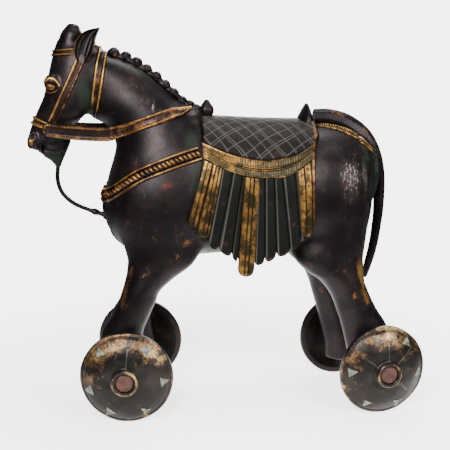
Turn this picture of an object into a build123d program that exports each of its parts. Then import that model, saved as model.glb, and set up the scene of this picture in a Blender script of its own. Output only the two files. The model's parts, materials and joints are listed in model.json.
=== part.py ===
from build123d import *
import os
from math import cos, radians, sin, tan

os.makedirs("parts", exist_ok=True)

# A cast bronze toy horse on four wheels. It faces -X and +Z is up, so its left side is -Y.
# The origin is on the floor, under the middle of the whole length and width.
# Lengths along the horse are counted from the middle of the wheelbase, which is mid_x behind it.

# ---- Running gear ----
mid_x = 18.0  # from the origin back to the middle of the wheelbase
wheelbase = 184.0  # between the axles' middles
toe = 8.1  # each axle is turned this many degrees, near ends outward
wheel_dia = 70.0
wheel_back = 41.4  # along an axle, from its middle to a wheel's back face
rim_t = 4.6  # thickness of a wheel's rim
rim_edge = 0.8  # rounding of the rim's corners
dome_h = 13.2  # height of the domed disc beside its hub
hub_len = 17.4  # length of the hub
hub_dia = 20.0
back_hub_dia = 19.0
dish_depth = 7.6  # how far the back of the wheel is dished beside the hub
dish_lip = 4.5  # flat ring left round the back of the rim
axle_dia = 10.0
head_lip = 1.35  # the peened head stands out this far round the axle
head_t = 2.4
head_recess = 1.4  # the head lies this far below the hub's face
running_gap = 0.06  # radial clearance of the axle in its hub
head_gap = 0.6  # clearance round and under the peened head
inlay_size = 4.6  # from an inlay's middle to its corners
inlay_t = 1.2
inlay_radius = 27.5  # from the axle to the middle of an inlay
inlay_count = 6
inlay_turn = {"front_left": 30, "rear_left": 36, "front_right": 12, "rear_right": 48}

# ---- Horse ----
shell_t = 3.2  # bronze wall of the body
core_gap = 0.2  # left round the clay core as the bronze shrank
core_pin_dia = 3.0
leg_y = 27.0  # from the middle plane to the middle of a hoof
drawn_hoof_x = 95.9  # the legs below are drawn for hooves this far from the middle
drawn_axle_z = 35.0  # and for an axle at this height
rod_dia = 3.2  # the martingale rod
eye_dia = 6.0

# ---- Thicknesses of the wax strips laid on the model ----
strap_t = 2.0
rope_t = 3.4
border_t = 2.2
cloth_t = 2.2
tassel_t = 2.0  # the gilt strips, on top of the cloth
band_t = 3.4
seat_t = 5.0
drape_low = 96.0  # the cloth is cut from a wall that hangs down to here
reach = 70.0  # longer than anything is wide
rein_width = 10.5
rein_t = 2.8

axle_z = wheel_dia / 2
head_dia = axle_dia + 2 * head_lip
counterbore_dia = head_dia + 2 * head_gap
head_face = wheel_back + hub_len - head_recess
counterbore_floor = hub_len - head_recess - head_t - head_gap

SIDES = (("left", 1), ("right", -1))
ENDS = (("front", -1), ("rear", 1))

# Body, from chest to rump: place along the horse, underside, top, half width
torso_stations = [
    (-113.5, 150, 166, 8),
    (-109, 138, 183, 20),
    (-102, 129, 197, 27),
    (-92, 122.5, 208, 32),
    (-78, 118, 216, 35),
    (-60, 116, 221, 36),
    (-40, 119, 222, 36.5),
    (0, 121, 220.5, 37),
    (35, 119, 220, 37),
    (55, 113, 221, 38),
    (72, 109, 219.5, 38),
    (85, 113, 211, 33),
    (93, 128, 202, 25),
    (97.5, 158, 190, 13),
]
# Neck, head and tail: two opposite points (x, z) of the outline, half width
neck_sections = [
    ((-106, 178), (-42, 212), 27),
    ((-104.5, 196), (-50, 231), 25),
    ((-106, 209), (-61, 239), 22),
    ((-112, 220.5), (-72, 249), 19.5),
    ((-121, 232), (-84, 259.5), 17),
    ((-131, 246), (-99, 267), 14.5),
    ((-134, 256), (-113, 271), 12),
]
head_sections = [
    ((-147, 279), (-117, 276), 10),
    ((-149.5, 272), (-113, 268), 13.5),
    ((-152.5, 260), (-115, 253), 15.5),
    ((-154.5, 250), (-117, 241), 16),
    ((-157.5, 239), (-121.5, 229.5), 15),
    ((-163, 227), (-128.5, 220.5), 12.5),
    ((-167.5, 215), (-136, 210), 11),
    ((-170, 206), (-139.5, 202), 10.5),
    ((-168, 200), (-142.5, 195.5), 9.5),
    ((-161, 196), (-147, 191.5), 6),
]
tail_sections = [
    ((47, 232), (47, 219), 5.5),
    ((60, 232), (57, 218), 6.5),
    ((76, 226.5), (69, 213), 7.5),
    ((91.5, 214.5), (82, 203), 8),
    ((100.5, 199), (89.5, 192), 8),
    ((104.5, 180), (94, 177.5), 7.5),
    ((104.8, 158), (95.5, 156), 7),
    ((103.2, 138), (94.8, 137), 6.2),
    ((100.5, 121), (91.7, 120), 5),
    ((97.5, 106), (90.8, 105), 3.6),
    ((94.8, 95), (92.6, 94.5), 1.8),
]
# Legs, as drawn on the left side: height, middle along the horse, half length, half width,
# distance from the middle plane, and how far the section follows its hoof to the axle
foreleg_sections = [
    (22, -98, 15.5, 11, leg_y, 1),
    (35, -99, 17.5, 12, leg_y, 1),
    (50, -101, 17, 11.8, leg_y, 1),
    (64, -101.2, 15.8, 11.6, leg_y, 1),
    (76, -95.5, 14.4, 11.8, 26.5, 0.95),
    (88, -90, 14.1, 12.3, 26, 0.8),
    (97, -86.5, 14.4, 13, 25, 0.5),
    (107, -79.5, 18.5, 14, 23.5, 0.25),
    (118, -71.5, 25, 15, 22, 0),
    (132, -71, 28, 14.5, 20.5, 0),
    (148, -74, 22, 12, 19, 0),
]
hindleg_sections = [
    (22, 94, 15.5, 11, leg_y, 1),
    (35, 94.5, 17.5, 12, leg_y, 1),
    (50, 91.5, 18.2, 11.8, leg_y, 1),
    (66, 87, 18, 11.6, leg_y, 1),
    (79, 80.5, 16, 11.8, 26.5, 0.95),
    (92, 74.3, 15.4, 12.3, 26, 0.8),
    (103, 67.8, 17.6, 14, 24.5, 0.5),
    (111, 63.3, 24.4, 15, 23.5, 0.25),
    (121, 60.5, 30, 16, 22, 0),
    (135, 64.5, 27.5, 16, 20.5, 0),
    (150, 70, 22, 13, 19, 0),
]
# Curves of the saddle, front to back
seat_edge = [(-42, 209), (-20, 200.5), (3, 196.5), (25, 200), (40.5, 208)]
upper_band_edge = [(-42, 203.5), (-20, 194), (3, 190), (25, 194), (40, 203)]
lower_band_edge = [(-41.5, 198), (-20, 187.5), (5, 183.5), (22, 185.5), (39.5, 197)]
cloth_hem = [(-51.5, 151), (-45, 144), (-38, 137.5), (-30, 133), (-20, 129), (-15.5, 124.5),
             (-3, 121.5), (5.5, 124), (14, 127.5), (24, 131), (31.5, 138), (41, 147)]
hem_sag = 2.6  # each scallop hangs this far below its two ends
collar_line = [(-122, 168), (-113, 171.5), (-100, 178.5), (-80, 187.5), (-60, 195), (-43, 199.5)]
rope_width = 4.6
border_width = 2.4
border_offset = (rope_width + border_width) / 2 + 0.1
rein_line = [(-158.5, 216.5), (-145, 214.8), (-125, 214), (-110, 214), (-100, 216), (-88, 220.5),
             (-75, 225), (-60, 230.5), (-46, 236.5)]
rein_plan = [(-163, 13.6), (-150, 14.2), (-130, 17.5), (-112, 21), (-100, 23.3), (-88, 24.2),
             (-76, 23.2), (-66, 20), (-57, 14.5), (-48, 7.5), (-42, 4)]
rod_points = [(-147, 190), (-148.4, 177), (-144.6, 165.5), (-135, 157.4), (-122.5, 152.4), (-108, 147.5)]


def side(y=0.0):
    """Upright plane along the horse: local x runs to its rear, local y up, normal to its left."""
    return Plane(origin=(mid_x, -y, 0), x_dir=(1, 0, 0), z_dir=(0, -1, 0))


def across(x):
    """Upright plane across the horse: local x is +Y, local y is up."""
    return Plane.YZ.offset(mid_x + x)


def level(z):
    """Level plane: local x runs to the rear, local y is +Y."""
    return Plane(origin=(mid_x, 0, z), x_dir=(1, 0, 0), z_dir=(0, 0, 1))


def span(one, other):
    """Plane across the horse through two points (x, z) of its outline, centred between them."""
    run = Vector(other[0] - one[0], 0, other[1] - one[1]).normalized()
    middle = ((one[0] + other[0]) / 2 + mid_x, 0, (one[1] + other[1]) / 2)
    return Plane(origin=middle, x_dir=(0, 1, 0), z_dir=Vector(0, 1, 0).cross(run))


def limb(sections, grow=0.0):
    """Loft through ellipses that stand across the outline; grow makes it thicker all round."""
    with BuildPart() as body:
        for one, other, half_width in sections:
            depth = Vector(one[0], one[1]).sub(Vector(other[0], other[1])).length
            with BuildSketch(span(one, other)):
                Ellipse(half_width + grow, depth / 2 + grow)
        loft()
    return body.part


def torso_form(grow=0.0):
    """Loft of the whole body through upright ellipses; grow makes it thicker all round."""
    first, last = torso_stations[0], torso_stations[-1]
    with BuildPart() as body:
        for station in torso_stations:
            x, low, high, half_width = station
            x += grow * ((station is last) - (station is first))
            with BuildSketch(across(x)):
                with Locations((0, (low + high) / 2)):
                    Ellipse(half_width + grow, (high - low) / 2 + grow)
        loft()
    return body.part


def drape_form(grow):
    """The body's back with flat sides hanging from its widest level, grown outward."""
    with BuildPart() as body:
        for x, low, high, half_width in torso_stations[5:10]:
            middle = (low + high) / 2
            with BuildSketch(across(x)):
                with Locations((0, middle)):
                    Ellipse(half_width + grow, (high - low) / 2 + grow)
                with Locations((0, (middle + drape_low) / 2)):
                    Rectangle(2 * (half_width + grow), middle - drape_low)
        loft()
    return body.part


def hoof_x(end, way):
    """Place of a hoof along the horse: where its axle passes at leg_y."""
    return end * (wheelbase / 2 + way * tan(radians(toe)) * leg_y)


def leg_form(sections, end, way):
    """Loft of one leg through level ellipses, its lower sections moved to the axle."""
    forward = hoof_x(end, way) - end * drawn_hoof_x
    rise = axle_z - drawn_axle_z
    with BuildPart() as leg:
        for height, middle, half_length, half_width, y, follow in sections:
            with BuildSketch(level(height + follow * rise)):
                with Locations((middle + follow * forward, -way * y)):
                    Ellipse(half_length, half_width)
        loft()
    return leg.part


def axle_frame(end, way):
    """Plane on an axle's middle whose normal points outward along it, with x straight up."""
    out = (end * way * sin(radians(toe)), -way * cos(radians(toe)), 0)
    return Plane(origin=(mid_x + end * wheelbase / 2, 0, axle_z), x_dir=(0, 0, 1), z_dir=out)


def wheel_frame(end, way):
    """Plane of a wheel's back face, normal outward."""
    return axle_frame(end, way).offset(wheel_back)


def turning_frame(frame):
    """Plane that holds the wheel's axis: local x is the radius, local y runs outward."""
    return Plane(origin=frame.origin, x_dir=frame.x_dir, z_dir=frame.x_dir.cross(frame.z_dir))


def save(piece, name):
    """Label a finished piece and write it under its own name."""
    piece.part.label = name
    export_step(piece.part, f"parts/{name}.step")


def between(upper, lower):
    """Outline between two curves that run front to back, inside a BuildSketch."""
    with BuildLine() as outline:
        Spline(*upper)
        Line(upper[-1], lower[-1])
        Spline(*lower)
        Line(lower[0], upper[0])
    make_face(outline.edges())


def ribbon(points, width):
    """Strip of one width along a smooth curve, inside a BuildSketch."""
    with BuildLine() as middle:
        Spline(*points)
    trace(middle.edges(), line_width=width)


def bend_radii(points):
    """The largest round bends that fit at the corners of a bent rod."""
    runs = [Vector(*other) - Vector(*one) for one, other in zip(points, points[1:])]
    turns = [radians(one.get_angle(other)) for one, other in zip(runs, runs[1:])]
    shorter = [min(one.length, other.length) for one, other in zip(runs, runs[1:])]
    return [0.45 * run / tan(turn / 2) for run, turn in zip(shorter, turns)]


def shifted(points, amount):
    """The same points, moved up by amount."""
    return [(x, z + amount) for x, z in points]


# ---- Forms that the pieces are cut from and fitted to ----
torso_outer = torso_form()
torso_strapped = torso_form(strap_t)
neck_outer = limb(neck_sections)
neck_strapped = limb(neck_sections, strap_t)
head_outer = limb(head_sections)
head_strapped = limb(head_sections, strap_t)
tail_outer = limb(tail_sections)

# ---- Body: a hollow casting round a clay core held by iron pins ----
with BuildPart() as core_pins:
    for x, z in ((-68, 178), (62, 178)):
        with BuildSketch(side()):
            with Locations((x, z)):
                Circle(core_pin_dia / 2)
    extrude(amount=reach, both=True)
    add(torso_outer, mode=Mode.INTERSECT)
save(core_pins, "core_pins")

with BuildPart() as torso:
    add(torso_outer)
    add(torso_form(-shell_t), mode=Mode.SUBTRACT)
    add(core_pins.part, mode=Mode.SUBTRACT)
save(torso, "torso")

with BuildPart() as clay_core:
    add(torso_form(-shell_t - core_gap))
    add(core_pins.part, mode=Mode.SUBTRACT)
save(clay_core, "clay_core")

with BuildPart() as neck:
    add(neck_outer)
    add(torso_outer, mode=Mode.SUBTRACT)
save(neck, "neck")

with BuildPart() as head:
    add(head_outer)
    add(neck_outer, mode=Mode.SUBTRACT)
save(head, "head")

with BuildPart() as tail:
    add(tail_outer)
    add(torso_outer, mode=Mode.SUBTRACT)
save(tail, "tail")

# ---- Axles: iron rods fast in the hooves, peened over outside the wheels ----
for end_name, end in ENDS:
    with BuildPart() as axle:
        with BuildSketch(axle_frame(end, 1)):
            Circle(axle_dia / 2)
        extrude(amount=head_face, both=True)
        for _, way in SIDES:
            with BuildSketch(axle_frame(end, way).offset(head_face - head_t)):
                Circle(head_dia / 2)
            extrude(amount=head_t)
    save(axle, f"{end_name}_axle")

# ---- Legs ----
for end, leg_name, sections in ((-1, "foreleg", foreleg_sections), (1, "hindleg", hindleg_sections)):
    for hand, way in SIDES:
        with BuildPart() as leg:
            add(leg_form(sections, end, way))
            add(torso_outer, mode=Mode.SUBTRACT)
            with BuildSketch(axle_frame(end, 1)):
                Circle(axle_dia / 2)
            extrude(amount=reach, both=True, mode=Mode.SUBTRACT)
        save(leg, f"{hand}_{leg_name}")

# ---- Wheels: domed discs with a raised hub and triangular inlays near the rim ----
wheel_r = wheel_dia / 2
hub_r = hub_dia / 2
for end_name, end in ENDS:
    for hand, way in SIDES:
        frame = wheel_frame(end, way)
        axis = Axis(frame.origin, frame.z_dir)
        dome = [(wheel_r - rim_edge, rim_t), (hub_r + (wheel_r - hub_r) * 0.58, rim_t * 0.25 + dome_h * 0.7),
                (hub_r, dome_h)]
        with BuildPart() as blank:
            with BuildSketch(turning_frame(frame)):
                with BuildLine():
                    bore_r = axle_dia / 2 + running_gap
                    Polyline((hub_r, dome_h), (hub_r, hub_len - rim_edge), (hub_r - rim_edge, hub_len),
                             (counterbore_dia / 2, hub_len), (counterbore_dia / 2, counterbore_floor),
                             (bore_r, counterbore_floor), (bore_r, 0), (back_hub_dia / 2, 0),
                             (back_hub_dia / 2 + rim_edge, dish_depth))
                    ThreePointArc((back_hub_dia / 2 + rim_edge, dish_depth),
                                  (hub_r + (wheel_r - hub_r) * 0.5, dish_depth * 0.68),
                                  (wheel_r - dish_lip, 0))
                    Polyline((wheel_r - dish_lip, 0), (wheel_r - rim_edge, 0), (wheel_r, rim_edge),
                             (wheel_r, rim_t - rim_edge), (wheel_r - rim_edge, rim_t))
                    ThreePointArc(*dome)
                make_face()
            revolve(axis=axis)
        with BuildPart() as seat_for_inlays:
            with BuildSketch(turning_frame(frame)):
                with BuildLine():
                    ThreePointArc(*[(r, out - inlay_t) for r, out in dome])
                    Polyline((hub_r, dome_h - inlay_t), (0, dome_h - inlay_t), (0, -rim_t),
                             (wheel_r - rim_edge, -rim_t), (wheel_r - rim_edge, rim_t - inlay_t))
                make_face()
            revolve(axis=axis)
        with BuildPart() as inlays:
            with BuildSketch(frame):
                with PolarLocations(inlay_radius, inlay_count, inlay_turn[f"{end_name}_{hand}"]):
                    RegularPolygon(inlay_size, 3)
            extrude(amount=hub_len)
            add(blank.part, mode=Mode.INTERSECT)
            add(seat_for_inlays.part, mode=Mode.SUBTRACT)
        save(inlays, f"{end_name}_{hand}_inlays")
        with BuildPart() as wheel:
            add(blank.part)
            add(inlays.part, mode=Mode.SUBTRACT)
        save(wheel, f"{end_name}_{hand}_wheel")

# ---- Head: forelock knob, ears, eyes ----
with BuildPart() as topknot:
    for x, z, radius in ((-139.8, 268, 7.5), (-139.6, 276, 8.6), (-138, 283.5, 7.6), (-136.3, 289, 5.4)):
        with BuildSketch(level(z)):
            with Locations((x, 0)):
                Circle(radius)
    loft()
    with Locations((mid_x - 136.2, 0, 287.2)):
        Sphere(5.4)
    add(head_outer, mode=Mode.SUBTRACT)
    add(neck_outer, mode=Mode.SUBTRACT)
save(topknot, "topknot")

ear_front = [(-130.5, 262.5), (-134, 272), (-132.5, 280), (-126, 286.5), (-116, 289.5)]
ear_back = [(-130.5, 262.5), (-123.5, 267), (-119.8, 275), (-118.5, 283), (-116, 289.5)]
ear_in = 7.5  # from the middle plane to the inner side of an ear
ear_width = 8.0
ear_wall = 1.6
ears = []
for hand, way in SIDES:
    with BuildPart() as ear:
        with BuildSketch(side(way * ear_in)):
            with BuildLine():
                Spline(*ear_front)
                Spline(*ear_back)
            make_face()
        extrude(amount=way * ear_width)
        add(head_outer, mode=Mode.SUBTRACT)
        add(neck_outer, mode=Mode.SUBTRACT)
        add(topknot.part, mode=Mode.SUBTRACT)
        with BuildSketch(side(way * (ear_in + ear_wall))):
            with Locations((-126.5, 276)):
                Ellipse(4.2, 7.4, rotation=-28)
        extrude(amount=way * ear_width, mode=Mode.SUBTRACT)
    save(ear, f"{hand}_ear")
    ears.append(ear.part)

eye_x, eye_z, eye_y = -150.2, 247.2, 10.4
for hand, way in SIDES:
    with BuildPart() as eye:
        with Locations((mid_x + eye_x, -way * eye_y, eye_z)):
            Sphere(eye_dia / 2)
        add(head_outer, mode=Mode.SUBTRACT)
    save(eye, f"{hand}_eye")

with BuildPart() as eyelids:
    with BuildSketch(side()):
        with BuildLine():
            ThreePointArc((-155, 250), (-150.5, 253.4), (-145.5, 249.5))
        trace(line_width=2.2)
    extrude(amount=reach, both=True)
    add(head_strapped, mode=Mode.INTERSECT)
    add(head_outer, mode=Mode.SUBTRACT)
    for way in (1, -1):
        with BuildSketch(side(way * eye_y)):
            with Locations((eye_x, eye_z)):
                Circle(eye_dia / 2 + 0.4)
        extrude(amount=way * reach, mode=Mode.SUBTRACT)
save(eyelids, "eyelids")

with BuildPart() as chin_boss:
    for z, radius in ((198, 5.6), (190.5, 3.6), (184, 2.4)):
        with BuildSketch(level(z)):
            with Locations((-147, 0)):
                Circle(radius)
    loft()
    add(head_outer, mode=Mode.SUBTRACT)
save(chin_boss, "chin_boss")

# ---- Martingale rod: one bent rod from the chin down to the chest ----
with BuildPart() as martingale_rod:
    with BuildLine(side()) as rod_path:
        FilletPolyline(*rod_points, radius=bend_radii(rod_points))
    with BuildSketch(Plane(origin=rod_path.line @ 0, z_dir=rod_path.line % 0)):
        Circle(rod_dia / 2)
    sweep()
    add(chin_boss.part, mode=Mode.SUBTRACT)
    add(head_outer, mode=Mode.SUBTRACT)
    add(torso_outer, mode=Mode.SUBTRACT)
save(martingale_rod, "martingale_rod")

# ---- Bridle: strips laid round the head and neck ----
with BuildPart() as browband:
    with BuildSketch(side()):
        ribbon([(-152, 270), (-146, 271.6), (-139, 272.4), (-134, 271.5)], 4.2)
    extrude(amount=reach, both=True)
    add(head_strapped, mode=Mode.INTERSECT)
    add(head_outer, mode=Mode.SUBTRACT)
    add(neck_outer, mode=Mode.SUBTRACT)
    add(topknot.part, mode=Mode.SUBTRACT)
    for ear in ears:
        add(ear, mode=Mode.SUBTRACT)
save(browband, "browband")

with BuildPart() as noseband:
    with BuildSketch(side()):
        ribbon([(-171, 225.5), (-164, 222), (-156, 217), (-148, 214.5), (-136, 213), (-124, 212)], 5.4)
    extrude(amount=reach, both=True)
    add(head_strapped, mode=Mode.INTERSECT)
    add(head_outer, mode=Mode.SUBTRACT)
save(noseband, "noseband")

cheekpieces = []
for hand, way in SIDES:
    with BuildPart() as cheekpiece:
        with BuildSketch(side()):
            ribbon([(-128, 262.5), (-134.5, 250), (-142, 236), (-150.5, 220.5)], 7.2)
        extrude(amount=way * reach)
        add(head_strapped, mode=Mode.INTERSECT)
        add(head_outer, mode=Mode.SUBTRACT)
        add(neck_outer, mode=Mode.SUBTRACT)
        for taken in (noseband.part, *ears):
            add(taken, mode=Mode.SUBTRACT)
    save(cheekpiece, f"{hand}_cheekpiece")
    cheekpieces.append(cheekpiece.part)

with BuildPart() as neck_band:
    with BuildSketch(side()):
        ribbon([(-113, 279), (-115.5, 262), (-118.5, 247), (-121, 225)], 7.0)
    extrude(amount=reach, both=True)
    add(neck_strapped, mode=Mode.INTERSECT)
    add(neck_outer, mode=Mode.SUBTRACT)
    add(head_outer, mode=Mode.SUBTRACT)
save(neck_band, "neck_band")

# ---- Mane: a ridge along the crest with a row of knots on it ----
crest_line = [(-108, 269.5), (-97, 266), (-87, 260.8), (-78, 254.5), (-69, 247.5), (-60.5, 240),
              (-52, 232)]
ridge_width = 6.0
ridge_h = 5.0
with BuildPart() as mane_crest:
    with BuildSketch(side()):
        ribbon(crest_line, ridge_h)
    extrude(amount=ridge_width / 2, both=True)
    add(neck_outer, mode=Mode.SUBTRACT)
    add(neck_band.part, mode=Mode.SUBTRACT)
    add(torso_outer, mode=Mode.SUBTRACT)
save(mane_crest, "mane_crest")

knot_places = [(-105.3, 273), (-96.3, 270.8), (-88, 266.8), (-80.5, 261.7), (-73.4, 256.3),
               (-66.9, 250.3), (-60.7, 244.3), (-54.6, 238.6), (-48.2, 234.4)]
knot_dia = 7.8
with BuildPart() as mane_knots:
    for x, z in knot_places:
        with Locations((mid_x + x, 0, z)):
            Sphere(knot_dia / 2)
    add(mane_crest.part, mode=Mode.SUBTRACT)
    add(neck_outer, mode=Mode.SUBTRACT)
    add(neck_band.part, mode=Mode.SUBTRACT)
    add(torso_outer, mode=Mode.SUBTRACT)
save(mane_knots, "mane_knots")

# ---- Reins: straps free between the bridle and the neck, then lying on the neck ----
reins = []
for hand, way in SIDES:
    with BuildPart() as rein:
        with BuildSketch(side()):
            ribbon(rein_line, rein_width)
        extrude(amount=way * reach)
        with BuildSketch(level(0)):
            ribbon([(x, -way * y) for x, y in rein_plan], rein_t)
        extrude(amount=4 * reach, mode=Mode.INTERSECT)
        for taken in (head_outer, neck_outer, torso_outer, noseband.part, mane_crest.part,
                      mane_knots.part, *cheekpieces, *reins):
            add(taken, mode=Mode.SUBTRACT)
    save(rein, f"{hand}_rein")
    reins.append(rein.part)

# ---- Breast collar: a twisted rope between two plain cords ----
def collar_piece(width, rise, thickness):
    """A strip of the collar, laid round the chest and the root of the neck."""
    with BuildPart() as piece:
        with BuildSketch(side()):
            ribbon(shifted(collar_line, rise), width)
        extrude(amount=reach, both=True)
        add(torso_form(thickness), mode=Mode.INTERSECT)
        add(torso_outer, mode=Mode.SUBTRACT)
        add(neck_outer, mode=Mode.SUBTRACT)
    return piece.part


with BuildPart() as breast_rope:
    add(collar_piece(rope_width, 0, rope_t))
save(breast_rope, "breast_rope")

with BuildPart() as breast_rope_borders:
    for rise in (border_offset, -border_offset):
        add(collar_piece(border_width, rise, border_t))
    add(breast_rope.part, mode=Mode.SUBTRACT)
save(breast_rope_borders, "breast_rope_borders")

# ---- Saddle: seat, two gilt bands a side, and the cloth that hangs below them ----
drape_inner = drape_form(0)
drape_cloth = drape_form(cloth_t)
drape_tassel = drape_form(cloth_t + tassel_t)
drape_band = drape_form(band_t)
drape_seat = drape_form(seat_t)

with BuildPart() as saddle_seat:
    with BuildSketch(side()):
        with BuildLine():
            Polyline(seat_edge[0], (-38.5, 240), (47, 240), seat_edge[-1])
            Spline(*seat_edge)
        make_face()
    extrude(amount=reach, both=True)
    add(drape_seat, mode=Mode.INTERSECT)
    add(drape_inner, mode=Mode.SUBTRACT)
    add(torso_outer, mode=Mode.SUBTRACT)
    add(neck_outer, mode=Mode.SUBTRACT)
save(saddle_seat, "saddle_seat")

for name, upper, lower in (("upper", seat_edge, upper_band_edge),
                           ("lower", upper_band_edge, lower_band_edge)):
    for hand, way in SIDES:
        with BuildPart() as band:
            with BuildSketch(side()):
                between(upper, lower)
            extrude(amount=way * reach)
            add(drape_band, mode=Mode.INTERSECT)
            add(drape_inner, mode=Mode.SUBTRACT)
            add(torso_outer, mode=Mode.SUBTRACT)
        save(band, f"{hand}_{name}_saddle_band")

for hand, way in SIDES:
    with BuildPart() as saddle_cloth:
        with BuildSketch(side()):
            with BuildLine():
                Spline(*lower_band_edge)
                Line(lower_band_edge[-1], cloth_hem[-1])
                for one, other in zip(cloth_hem, cloth_hem[1:]):
                    lowest = ((one[0] + other[0]) / 2, (one[1] + other[1]) / 2 - hem_sag)
                    ThreePointArc(one, lowest, other)
                Line(cloth_hem[0], lower_band_edge[0])
            make_face()
        extrude(amount=way * reach)
        add(drape_cloth, mode=Mode.INTERSECT)
        add(drape_inner, mode=Mode.SUBTRACT)
        add(torso_outer, mode=Mode.SUBTRACT)
    save(saddle_cloth, f"{hand}_saddle_cloth")


def tassel_outline(top_front, top_back, low_front, low_back, tip):
    """A gilt strip: straight sides under the bands and a round end, inside a BuildSketch."""
    with BuildLine() as outline:
        Polyline(low_front, top_front, top_back, low_back)
        ThreePointArc(low_front, tip, low_back)
    make_face(outline.edges())


tassels = {
    "front": [((-41.3, 196.5), (-35.2, 193.9), (-53, 151), (-46.6, 149), (-50.5, 146.5)),
              ((-34.7, 193.7), (-28, 190.6), (-46, 144.5), (-37, 143), (-42, 139.8))],
    "centre": [((-11.5, 184.6), (-0.5, 183.4), (-15.4, 115), (-3.2, 115), (-9, 109.6))],
    "rear": [((27.5, 188), (39.3, 196.6), (32.4, 143), (41.2, 145), (36.5, 139.4))],
}
for place, strips in tassels.items():
    for hand, way in SIDES:
        with BuildPart() as tassel:
            for strip in strips:
                with BuildSketch(side()):
                    tassel_outline(*strip)
                extrude(amount=way * reach)
            add(drape_tassel, mode=Mode.INTERSECT)
            add(drape_cloth, mode=Mode.SUBTRACT)
            with BuildSketch(side()):
                with BuildLine():
                    Spline(*lower_band_edge)
                    Polyline(lower_band_edge[-1], (60, 240), (-60, 240), lower_band_edge[0])
                make_face()
            extrude(amount=way * reach, mode=Mode.SUBTRACT)
        save(tassel, f"{hand}_{place}_tassels")

pommel_x = -36.2
pommel_foot = 222.5  # it starts here, inside the seat's thickness
with BuildPart() as saddle_pommel:
    with BuildSketch(side()):
        with BuildLine():
            Polyline((pommel_x, 238.8), (pommel_x, pommel_foot), (pommel_x + 4.4, pommel_foot))
            Spline((pommel_x + 4.4, pommel_foot), (pommel_x + 5.6, 228), (pommel_x + 3, 235.5),
                   (pommel_x, 238.8))
        make_face()
    revolve(axis=Axis((mid_x + pommel_x, 0, 0), (0, 0, 1)))
    for taken in (saddle_seat.part, torso_outer, neck_outer):
        add(taken, mode=Mode.SUBTRACT)
save(saddle_pommel, "saddle_pommel")

cantle_half = 15.0
with BuildPart() as saddle_cantle:
    with BuildSketch(side()):
        with BuildLine():
            Spline((29.5, 224), (34.5, 229.5), (40.4, 236.6))
            Spline((40.4, 236.6), (44.5, 232.5), (47.5, 224))
            Polyline((47.5, 224), (47.5, 215), (29.5, 215), (29.5, 224))
        make_face()
    extrude(amount=cantle_half, both=True)
    with BuildSketch(across(0)):
        with Locations((0, 236.6 - 20)):
            Circle(20)
    extrude(amount=reach, mode=Mode.INTERSECT)
    for taken in (saddle_seat.part, drape_inner, torso_outer, tail_outer):
        add(taken, mode=Mode.SUBTRACT)
save(saddle_cantle, "saddle_cantle")

# ---- Crupper: a strap a side from the saddle to the root of the tail ----
for hand, way in SIDES:
    with BuildPart() as crupper:
        with BuildSketch(side()):
            ribbon([(47.5, 217.5), (58, 217.5), (70, 214.5), (80, 209), (89, 199)], 5.4)
        extrude(amount=way * reach)
        add(torso_strapped, mode=Mode.INTERSECT)
        for taken in (torso_outer, tail_outer, saddle_seat.part, saddle_cantle.part):
            add(taken, mode=Mode.SUBTRACT)
    save(crupper, f"{hand}_crupper")
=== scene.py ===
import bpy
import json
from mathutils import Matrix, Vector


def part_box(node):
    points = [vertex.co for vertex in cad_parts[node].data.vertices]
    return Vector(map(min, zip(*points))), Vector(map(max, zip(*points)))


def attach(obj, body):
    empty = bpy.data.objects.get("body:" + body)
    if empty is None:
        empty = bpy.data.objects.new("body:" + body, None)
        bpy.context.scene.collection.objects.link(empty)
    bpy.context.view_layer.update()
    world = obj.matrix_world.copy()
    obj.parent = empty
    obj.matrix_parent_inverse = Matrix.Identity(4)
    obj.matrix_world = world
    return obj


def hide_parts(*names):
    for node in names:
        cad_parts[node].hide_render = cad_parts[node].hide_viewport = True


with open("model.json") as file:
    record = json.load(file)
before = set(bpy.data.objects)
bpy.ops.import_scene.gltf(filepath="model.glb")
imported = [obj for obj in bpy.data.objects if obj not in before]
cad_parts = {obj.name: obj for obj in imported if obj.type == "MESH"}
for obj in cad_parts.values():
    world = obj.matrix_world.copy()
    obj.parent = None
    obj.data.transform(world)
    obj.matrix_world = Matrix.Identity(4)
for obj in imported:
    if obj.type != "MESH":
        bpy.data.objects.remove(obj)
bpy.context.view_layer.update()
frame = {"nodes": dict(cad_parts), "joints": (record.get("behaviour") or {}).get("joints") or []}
import copy
import json
import math
import bpy
import numpy as np
import openvdb
from mathutils import Matrix, Vector

# Shapes below are drawn in millimetres for 70 mm wheels, from the middle of the wheelbase,
# with the horse facing -x and its left side at -y. `unit` and `middle` place them in the frame.
WHEELS = [f"{end}_{hand}" for end in ("front", "rear") for hand in ("left", "right")]
DRAWN_WHEEL = 70.0
wheel_boxes = [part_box(f"{name}_wheel") for name in WHEELS]
unit = float(np.mean([high[2] - low[2] for low, high in wheel_boxes])) / DRAWN_WHEEL
middle = float(np.mean([(low[0] + high[0]) / 2 for low, high in wheel_boxes]))
HORSE = "horse"
SIDES = (("left", -1.0), ("right", 1.0))


def in_frame(points):
    """Drawn millimetres to metres in the frame: scaled by unit, then moved back by middle."""
    moved = np.array(points, float) * unit
    moved[..., 0] += middle
    return moved


# ---------------------------------------------------------------- formulas used throughout
def bell(value, centre, width):
    """1 at the centre, falling as exp of minus the square of the distance over the width."""
    return np.exp(-((value - centre) / width) ** 2)


def arch(share):
    """Half circle over a share from 0 to 1: 0 at both ends and 1 in the middle."""
    return np.sqrt(np.clip(4 * share * (1 - share), 0, 1))


def eased(share):
    """Smooth step: the share kept within 0 and 1, then 3 s^2 - 2 s^3."""
    share = np.clip(share, 0, 1)
    return share**2 * (3 - 2 * share)


def between(one, other, share):
    """Straight-line mix of two values."""
    return one * (1 - share) + other * share


def cos_sin(degrees):
    """Cosine and sine of an angle in degrees."""
    return math.cos(math.radians(degrees)), math.sin(math.radians(degrees))


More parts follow.
